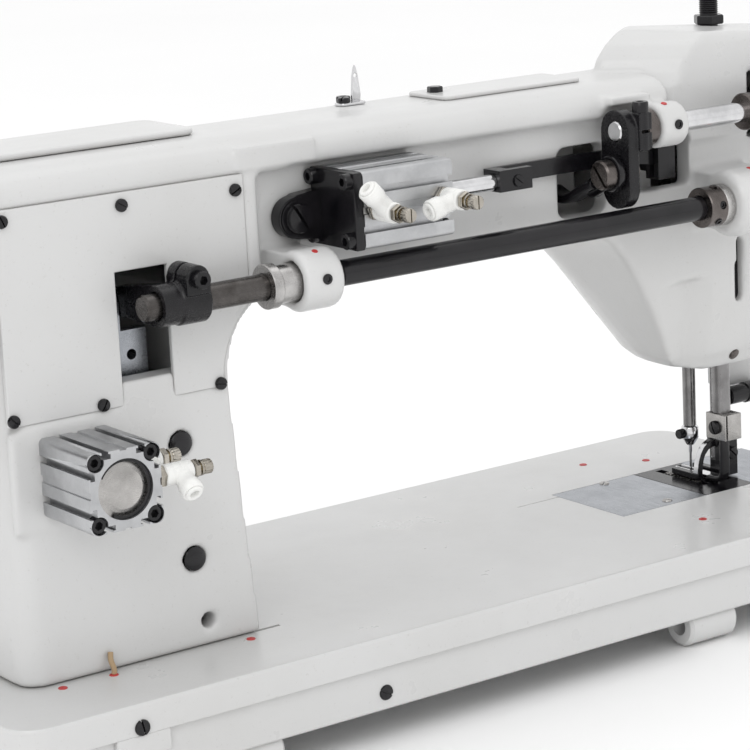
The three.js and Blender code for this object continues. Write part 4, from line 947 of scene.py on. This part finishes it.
def walk_parts():
    bar = rod(*WALK, WALK_R, 450.6, 632, 0.8, 64)
    publish(bar, "walk_shaft_bar", BRIGHT, "walk_rocker", ["walk_shaft"])
    rings = group(rod(*WALK, 11.5, 468.3, 478.2, 0.8, 64), rod(*WALK, 11.5, 554, 564, 0.8, 64))
    publish(rings, "walk_shaft_rings", BRONZED, "walk_rocker")
    body = union(link_shape("x", (WALK_Y, WALK_Z), (WALK_Y, 223), 13, 13, 451, 459),
                 block(458, 468, WALK_Y - 15, WALK_Y - 1, WALK_Z - 11, WALK_Z + 11),
                 rod(*WALK, 11, 458, 468, 1),
                 rod("z", 463.2, WALK_Y - 10, 5.4, WALK_Z - 12, WALK_Z + 12, 0.8))
    body = cut(body, rod(*WALK, WALK_R + 0.2, 440, 480), rod(*LEVER_SCREW, 5.3, 440, 470),
               block(459.5, 480, WALK_Y - 22, WALK_Y - 4, WALK_Z - 0.8, WALK_Z + 0.8))
    publish(cast(body, 0.55, 2), "walk_lever_body", FORGED, "walk_rocker", ["walk_lever"], angle=60)
    cap = aim(socket_head(5.0, 6.2, 2.7), (463, WALK_Y - 10, WALK_Z + 11.6), UP, 0.2)
    publish(cap, "walk_lever_screw", OXIDE, "walk_rocker")
    profile = [(0, 437.7), (7.9, 437.7), (9, 438.9), (9, 445), (5, 445), (5, 466), (0, 466)]
    screw = cut(turned(*LEVER_SCREW, profile),
                block(436, 439.6, WALK_Y - 12, WALK_Y + 12, LEVER_SCREW_Z - 0.9, LEVER_SCREW_Z + 0.9))
    screw.data.transform(Matrix.Translation((0, WALK_Y, LEVER_SCREW_Z))
                         @ Matrix.Rotation(math.radians(50), 4, "X")
                         @ Matrix.Translation((0, -WALK_Y, -LEVER_SCREW_Z)))
    publish(screw, "walk_pivot_screw", BRONZED, "walk_rocker", ["walk_shoulder_screw"])
    path = [(448, 58, 224.5), (446, 68, 220), (443.5, 78, 214.5), (443, 87, 214.5), (443, 97, 218)]
    crank = union(rod(*LEVER_SCREW, 11, 445.4, 450, 0.5),
                  link_shape("x", (WALK_Y, LEVER_SCREW_Z), (62, 221.5), 7.5, 5.8, 445.4, 450),
                  sweep(path, 3, 7.2, RIGHT))
    crank = cut(crank, rod(*LEVER_SCREW, 5.4, 440, 456))
    publish(cast(crank, 0.55, 3), "walk_crank_body", OXIDE, "walk_rod", ["walk_crank"], angle=60)
    front = cut(link_shape("x", (WALK_Y, WALK_Z), (91, WALK_Z), 12, 7, 582, 596),
                rod(*WALK, WALK_R + 0.2, 570, 600))
    publish(soften(front, 1.2, 3), "walk_front_body", FORGED, "walk_rocker", ["walk_front_lever"])


def lift_linkage():
    outline = [(369, 238.5), (371, 234.2), (380, 233.2), (420, 233.4), (470, 233), (488, 231), (500, 229),
               (502.8, 230.4), (503.5, 233), (503.4, 236.5), (501.5, 239.2), (485, 241.8), (470, 243),
               (440, 243.8), (400, 243.6), (374, 243.6), (370.6, 242)]
    bar = union(prism("y", outline, 62.6, 65.6), block(367.5, 376, 47, 65.6, 233.5, 243.5),
                rod("y", 371.5, LIFT_Z, 5.5, 44, 50))
    publish(soften(bar, 0.7, 3), "lift_link_bar", OXIDE, "lift_bar", ["lift_link"], weighted=True)
    crank = union(block(496, 509.5, 58, 70, 220.5, 240.5), block(496, 508, 68, 94, 225, 240.5),
                  link_shape("y", BELL_CRANK[1:], (502, 232), 9, 7, 86, 94),
                  link_shape("y", BELL_CRANK[1:], (546, 262), 9, 6, 86, 94), rod(*BELL_CRANK, 4, 78, 88))
    crank = cut(crank, block(495, 507, 62.2, 66, 220, 241))
    publish(soften(crank, 0.8, 2), "bell_crank_body", OXIDE, "bell_crank", ["lift_bell_crank"], weighted=True)


# ---------------------------------------------------------------- needle area
def needle_parts():
    publish(rod(*NEEDLE, 4.35, 34, 246, 0.5), "needle_bar_rod", BARS, "needle_unit", ["needle_bar"])
    body = turned(*NEEDLE, [(0, 20.8), (2.4, 20.8), (3.0, 21.4), (5.5, 25.5), (5.9, 26.4),
                            (5.9, 33.0), (5.4, 33.7), (0, 33.7)])
    publish(body, "needle_clamp_body", BRIGHT, "needle_unit", ["needle_clamp"])
    stem = turned("z", 0, 0, [(0, 0), (1.6, 0), (1.6, 6), (0, 6)], 24)
    screw = aim(group(knurled(3.3, 4.9, 10.3, 16), stem), (NEEDLE_X - 0.3, NEEDLE_Y, 29.5), LEFT)
    publish(screw, "needle_clamp_screw", OXIDE, "needle_unit")
    needle = turned(*NEEDLE, [(0, -7), (0.45, -5), (0.85, -1), (0.85, 15), (1.15, 16.2),
                              (1.15, 27.6), (0, 27.6)], 24)
    publish(needle, "needle_blade", BRIGHT, "needle_unit", ["needle"])
    publish(rod(*BAR, 6.25, 36.4, 250, 0.6), "walking_bar_rod", BARS, "walking_unit", ["walking_bar"])
    x, y = BAR_X, BAR_Y
    clamp = soften(cut(block(x - 7.5, x + 7, 94, 113, 31.5, 49), rod("z", x, y, 6.4, 36, 50),
                       block(x - 6.2, x - 5.0, 93, 99, 31, 50)), 1.2, 3)
    shank = sweep([(x - 2.2, 101.3, 33), (x - 2.2, 101.3, 16), (x - 2.2, 102, 7), (x - 2.2, 106, 3.6),
                   (x - 2.2, 115, 2.9)], 1.8, 3.4, RIGHT, 5, 20, 40)
    sole = cut(prism("z", rect(x - 4, x + 4, 112, 150, 2.4), 1.3, 4.0),
               prism("z", rect(x - 2.2, x + 2.2, 130, 156, 2.1), 0, 6))
    publish(clamp, "walking_foot_body", GROUND, "walking_unit", ["walking_foot"])
    publish(shank, "walking_foot_leg", OXIDE, "walking_unit")
    publish(soften(sole, 0.5, 3), "walking_foot_sole", BRIGHT, "walking_unit")
    screw = aim(slotted_head(4.6, 3.0, 0.5), (x - 7.3, 103, 40), LEFT, 0.4)
    publish(screw, "walking_foot_screw", OXIDE, "walking_unit")
    publish(rod(*PRESS, 5, 12.4, 262, 0.5), "presser_bar_rod", BARS, "presser_unit", ["presser_bar"])
    clamp = group(rod("x", PRESS_Y, 52.5, 3.5, PRESS_X + 5.1, PRESS_X + 12, 0.3),
                  rod("x", PRESS_Y, 52.5, 6.2, PRESS_X + 8.6, PRESS_X + 24, 0.8),
                  rod("x", PRESS_Y, 52.5, 7, PRESS_X + 23, PRESS_X + 42, 0.8))
    publish(clamp, "presser_bar_stub", OXIDE, "presser_unit")
    arch = [(576.5, 1.2), (580.8, 1.2)] + bezier((580.8, 1.2), (580.9, 12), (581.8, 18), (588, 21))
    arch += [(595, 22), (595, 27), (592, 27)]
    outer = bezier((592, 27), (580, 25), (576.5, 14), (576.5, 1.2))
    arch += outer[:-1]
    foot = union(prism("y", arch, 119.5, 124.5), block(593.6, 606, 113, 127, 1.2, 25),
                 block(593.6, 599, 113, 145, 1.2, 5), block(575.5, 580.8, 120, 145, 1.2, 5),
                 rod(*PRESS, 7.5, 24, 31))
    foot = cut(foot, rod(*PRESS, 5.3, 12, 50))
    publish(cast(foot, 0.5, 3), "presser_foot_body", OXIDE, "presser_unit", ["presser_foot"], angle=60)
    # Painted highlight: a thin bright steel band along the outer curve of the black foot's arch, standing in
    # for the glint on its polished edge.
    rim = [(a - 0.35, b + 0.2) for a, b in outer[2:-1]]
    rim += [(a + 0.5, b - 0.2) for a, b in reversed(outer[2:-1])]
    publish(prism("y", rim, 119.9, 123.9), "presser_foot_painted_highlight", BRIGHT, "presser_unit")
    screw = aim(slotted_head(4.3, 3.2, 0.5), (600, 113.2, 17), BACK, 0.8)
    publish(screw, "presser_foot_screw", OXIDE, "presser_unit")


def plates():
    cover = soften(block(487.15, 557.85, *PLATE_Y, -2.7, 0), 0.35, 2)
    publish(cover, "bed_cover_sheet", SATIN, "machine", ["bed_cover_plate"], weighted=True)
    slide = block(600.15, 655.85, *PLATE_Y, -2.7, 0)
    slide = cut(slide, prism("z", rect(640, 652, 120, 135, 5.5), -0.8, 1))
    publish(soften(slide, 0.3, 2), "bobbin_slide_sheet", SATIN, "bobbin_slide",
            ["bobbin_slide_plate"], weighted=True)
    stitch = cut(block(558.15, 599.85, *PLATE_Y, -2.7, 0),
                 prism("z", rect(583, 589, 129, 146, 2.9), -4, 1), block(574, 579.4, 111, 160, -4, 1),
                 block(592.6, 598, 111, 160, -4, 1))
    publish(soften(stitch, 0.3, 2), "stitch_plate", OXIDE, "machine", ["needle_plate"], weighted=True)
    teeth = union(block(574.8, 578.6, 118, 152, -9, 0), block(593.4, 597.2, 118, 152, -9, 0),
                  block(574.8, 597.2, 118, 128, -11, -5), block(580, 586, 104, 120, -11, -7))
    rows = [prism("x", [(y, -0.2), (y + 2.2, -0.2), (y + 1.6, 0.9)], x0, x1)
            for x0, x1 in ((574.8, 578.6), (593.4, 597.2)) for y in range(119, 150, 3)]
    publish(group(teeth, *rows), "feed_teeth_bar", GROUND, "feed_teeth", ["feed_dog"])


# ---------------------------------------------------------------- ends, top and operator's side
def handwheel_parts():
    profile = [(9.3, -36), (16, -36.5), (24, -34), (26, -30), (26.5, -22), (30, -18.5), (58, -14.5),
               (62, -17), (64.5, -28), (67, -32.5), (72, -34.3), (77, -32.5), (81, -27.5), (82, -21),
               (82, -9), (80.5, -3), (76.5, 0.8), (71, 1.6), (66, -2), (60, -7), (30, -5), (24, -1),
               (22.4, 4), (22, 22), (9.3, 22)]
    wheel = turned(*MAIN, profile, 96)
    holes = [rod("x", MAIN_Y + 44 * math.cos(a), MAIN_Z + 44 * math.sin(a), 9, -30, 5)
             for a in (0.5, 1.76, 3.01, 4.27, 5.53)]
    publish(soften(cut(wheel, *holes), 0.6, 2, 50), "handwheel_rim", WHEEL_PAINT, "main_drive", ["handwheel"])
    shaft = union(rod(*MAIN, 9, -38, 563, 0.8), rod(*MAIN, 21.9, 62, 80),
                  rod(*MAIN, 22, 562, 572, 0.6), rod(*MAIN, 5, 571, 574.8))
    publish(shaft, "main_shaft_bar", TURNED, "main_drive", ["main_shaft"])


def head_top_parts():
    collar = group(
        turned(*PRESS, [(0, 284), (5.8, 284), (5.8, 333), (0, 333)]),
        aim(hexagon(10, ((0, 0.92), (0.8, 1), (5.2, 1), (6, 0.92))), (PRESS_X, PRESS_Y, HEAD_TOP - 6), UP),
        aim(knurled(7.4, 0, 13, 30), (PRESS_X, PRESS_Y, 331), UP))
    threads = [turned(*PRESS, [(5.6, z), (6.3, z + 0.6), (5.6, z + 1.2)], 40)
               for z in [310 + 1.3 * i for i in range(16)]]
    publish(group(collar, *threads), "pressure_screw_body", OXIDE, "pressure_adjuster", ["pressure_screw"])
    blade = [(304.2, ARM_TOP + 2), (309.8, ARM_TOP + 2), (310.4, 291), (309.2, 302), (307.8, 307.4),
             (307.1, 308.8), (306.3, 307.4), (305, 302), (304, 291)]
    hook = cut(prism("y", blade, 107.3, 108.7), rod("y", 307.1, 302.5, 1.2, 105, 111, 0, 24))
    base = prism("z", rect(294, 312, 103, 113, 3), ARM_TOP + 1.8, ARM_TOP + 3.4)
    publish(group(soften(hook, 0.35, 2), soften(base, 0.4, 2)), "thread_guide_plate", BRIGHT, "machine",
            ["thread_guide"])
    post = aim(slotted_head(3.6, 3.0, 0.5), (298.5, 108, ARM_TOP + 3.3), UP, 0.6)
    publish(post, "thread_guide_base_screw", OXIDE, "machine")


def operator_parts():
    points = []
    for i in range(120):
        angle = 2 * math.pi * i / 120
        r = 21.3 + 0.45 * math.cos(24 * angle)
        points.append((DIAL[1] + r * math.cos(angle), DIAL[2] + r * math.sin(angle)))
    dial = union(soften(prism("y", points, FRONT + 1, FRONT + 12), 0.8, 2, 50),
                 turned(*DIAL, [(0, FRONT + 10), (15, FRONT + 10), (15, FRONT + 13),
                                (13.8, FRONT + 14), (0, FRONT + 14)]), rod(*DIAL, 5, 174, FRONT + 2))
    publish(dial, "stitch_dial_knob", BLACK_PLASTIC, "stitch_length_dial", ["stitch_dial"])
    lever = union(link_shape("y", REVERSE[1:], (172, 92), 9, 7, FRONT + 1, FRONT + 9),
                  block(166, 186, FRONT + 1, FRONT + 20, 84, 96), rod(*REVERSE, 5, 174, FRONT + 2))
    publish(cast(lever, 0.7, 4), "reverse_lever_body", OXIDE, "back_tack_lever", ["reverse_lever"], angle=60)
    lifter = union(link_shape("x", (150, 160), (186, 116), 8, 6, HEAD_END + 8, HEAD_END + 14),
                   rod("x", 150, 160, 4, HEAD_END - 10, HEAD_END + 9))
    publish(soften(lifter, 0.9, 3), "hand_lifter_body", BRIGHT, "foot_hand_lever", ["hand_lifter"])
    y, (x, z) = FRONT, TENSION[1:]
    post = group(turned(*TENSION, [(0, 170), (3.4, 170), (3.4, 214), (0, 214)], 32),
                 turned(*TENSION, [(3.2, y + 5.2), (6, y + 5.9), (11, y + 5.2), (13, y + 4.2),
                                   (13, y + 3.9), (11, y + 4.6), (6, y + 5.0), (3.2, y + 4.4)]),
                 turned(*TENSION, [(3.2, y + 6.4), (6, y + 6.0), (11, y + 6.9), (13, y + 8.8),
                                   (13, y + 9.1), (11, y + 7.6), (6, y + 6.9), (3.2, y + 7.4)]))
    publish(post, "tension_post_discs", BRIGHT, "machine", ["tension_post"])
    coil = []
    for i in range(97):
        angle = 2 * math.pi * i / 24
        coil.append((x + 5.2 * math.cos(angle), y + 8 + 6.4 * i / 96, z + 5.2 * math.sin(angle)))
    publish(sweep(coil, 0.5, 0.5, (0, 1, 0), 2, 10, 192), "tension_spring", BRIGHT, "machine")
    nut = aim(knurled(9.4, 0, 10.5, 32), (x, y + 15, z), (0, 1, 0))
    nut = cut(nut, rod(*TENSION, 3.8, y + 14, y + 26))
    publish(nut, "tension_nut", BRIGHT, "thread_tension_nut", ["tension_knob"])
    take_up = union(link_shape("x", (160, 262), (212, 286), 7, 4, 626, 630), rod("x", 160, 262, 5, 616, 632))
    take_up = cut(take_up, rod("x", 212, 286, 1.6, 620, 640))
    publish(soften(take_up, 0.5, 2), "take_up_arm", BRIGHT, "take_up", ["take_up_lever"])


CARRIED = {
    "needle_bar_frame": GROUND, "hook": BRIGHT, "hook_saddle": GROUND, "lower_shaft": TURNED,
    "timing_belt": BELT,
}


def carried_nodes():
    for name, material in CARRIED.items():
        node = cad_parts[name]
        for slot in node.material_slots:
            slot.material = material


# ---------------------------------------------------------------- stage
def stage():
    low = CAD_BOX[0]
    bm = bmesh.new()
    bmesh.ops.create_grid(bm, x_segments=2, y_segments=2, size=30)
    for vert in bm.verts:
        vert.co.z = low[2] - 0.0005
    floor = new_object(bm, "studio_floor")
    material, nodes, links, surface, place = shader("pale_floor", "white_paint", (0.97, 0.97, 0.97), 0, 0.8)
    tone = ramp(nodes, links, noise(nodes, links, place, 1.5, 2), [(0.3, grey(0.965)), (0.7, grey(0.98))])
    links.new(tone, surface.inputs["Base Color"])
    floor.data.materials.append(material)
    world = bpy.data.worlds.new("studio")
    SCENE.world = world
    world.use_nodes = True
    background = world.node_tree.nodes["Background"]
    background.inputs["Color"].default_value = (1.0, 1.0, 1.0, 1)
    background.inputs["Strength"].default_value = 1.0


def area_light(name, position, target, size, power):
    data = bpy.data.lights.new(name, "AREA")
    data.shape = "RECTANGLE"
    data.size, data.size_y = size
    data.energy = power
    light = bpy.data.objects.new(name, data)
    light.location = position
    light.rotation_euler = (Vector(target) - Vector(position)).to_track_quat("-Z", "Y").to_euler()
    SCENE.collection.objects.link(light)


def lights():
    centre = (0.0, 0.0, 0.2)
    area_light("key", (-1.7, -1.5, 1.9), centre, (1.3, 1.3), 12)
    area_light("top", (0.2, 0.3, 2.3), centre, (2.2, 1.4), 5)
    area_light("fill", (1.9, -1.5, 1.0), centre, (1.5, 1.5), 0.6)


def camera():
    eye = ORIGIN + Vector((-612.3, -1229.0, 495.3)) / 1000
    yaw, pitch, roll = (math.radians(v) for v in (34.622, 12.965, -2.9255))
    ahead = Vector((math.sin(yaw) * math.cos(pitch), math.cos(yaw) * math.cos(pitch), -math.sin(pitch)))
    right = Vector((math.cos(yaw), -math.sin(yaw), 0))
    up = right.cross(ahead)
    turned_right = right * math.cos(roll) + up * math.sin(roll)
    turned_up = up * math.cos(roll) - right * math.sin(roll)
    data = bpy.data.cameras.new("camera")
    data.sensor_width = 36
    data.lens = 132.98
    data.clip_end = 100
    ob = bpy.data.objects.new("camera", data)
    basis = Matrix((turned_right, turned_up, -ahead)).transposed().to_4x4()
    ob.matrix_world = Matrix.Translation(eye) @ basis
    SCENE.collection.objects.link(ob)
    SCENE.camera = ob


camera()
stage()
lights()
bed()
arm()
covers()
fasteners()
tack_cylinder()
lift_cylinder()
for fitting_name, (port, out, branch) in FITTINGS.items():
    fitting(fitting_name, port, out, branch)
rock_parts()
walk_parts()
lift_linkage()
needle_parts()
plates()
handwheel_parts()
head_top_parts()
operator_parts()
carried_nodes()
SCENE.view_settings.view_transform = "Standard"
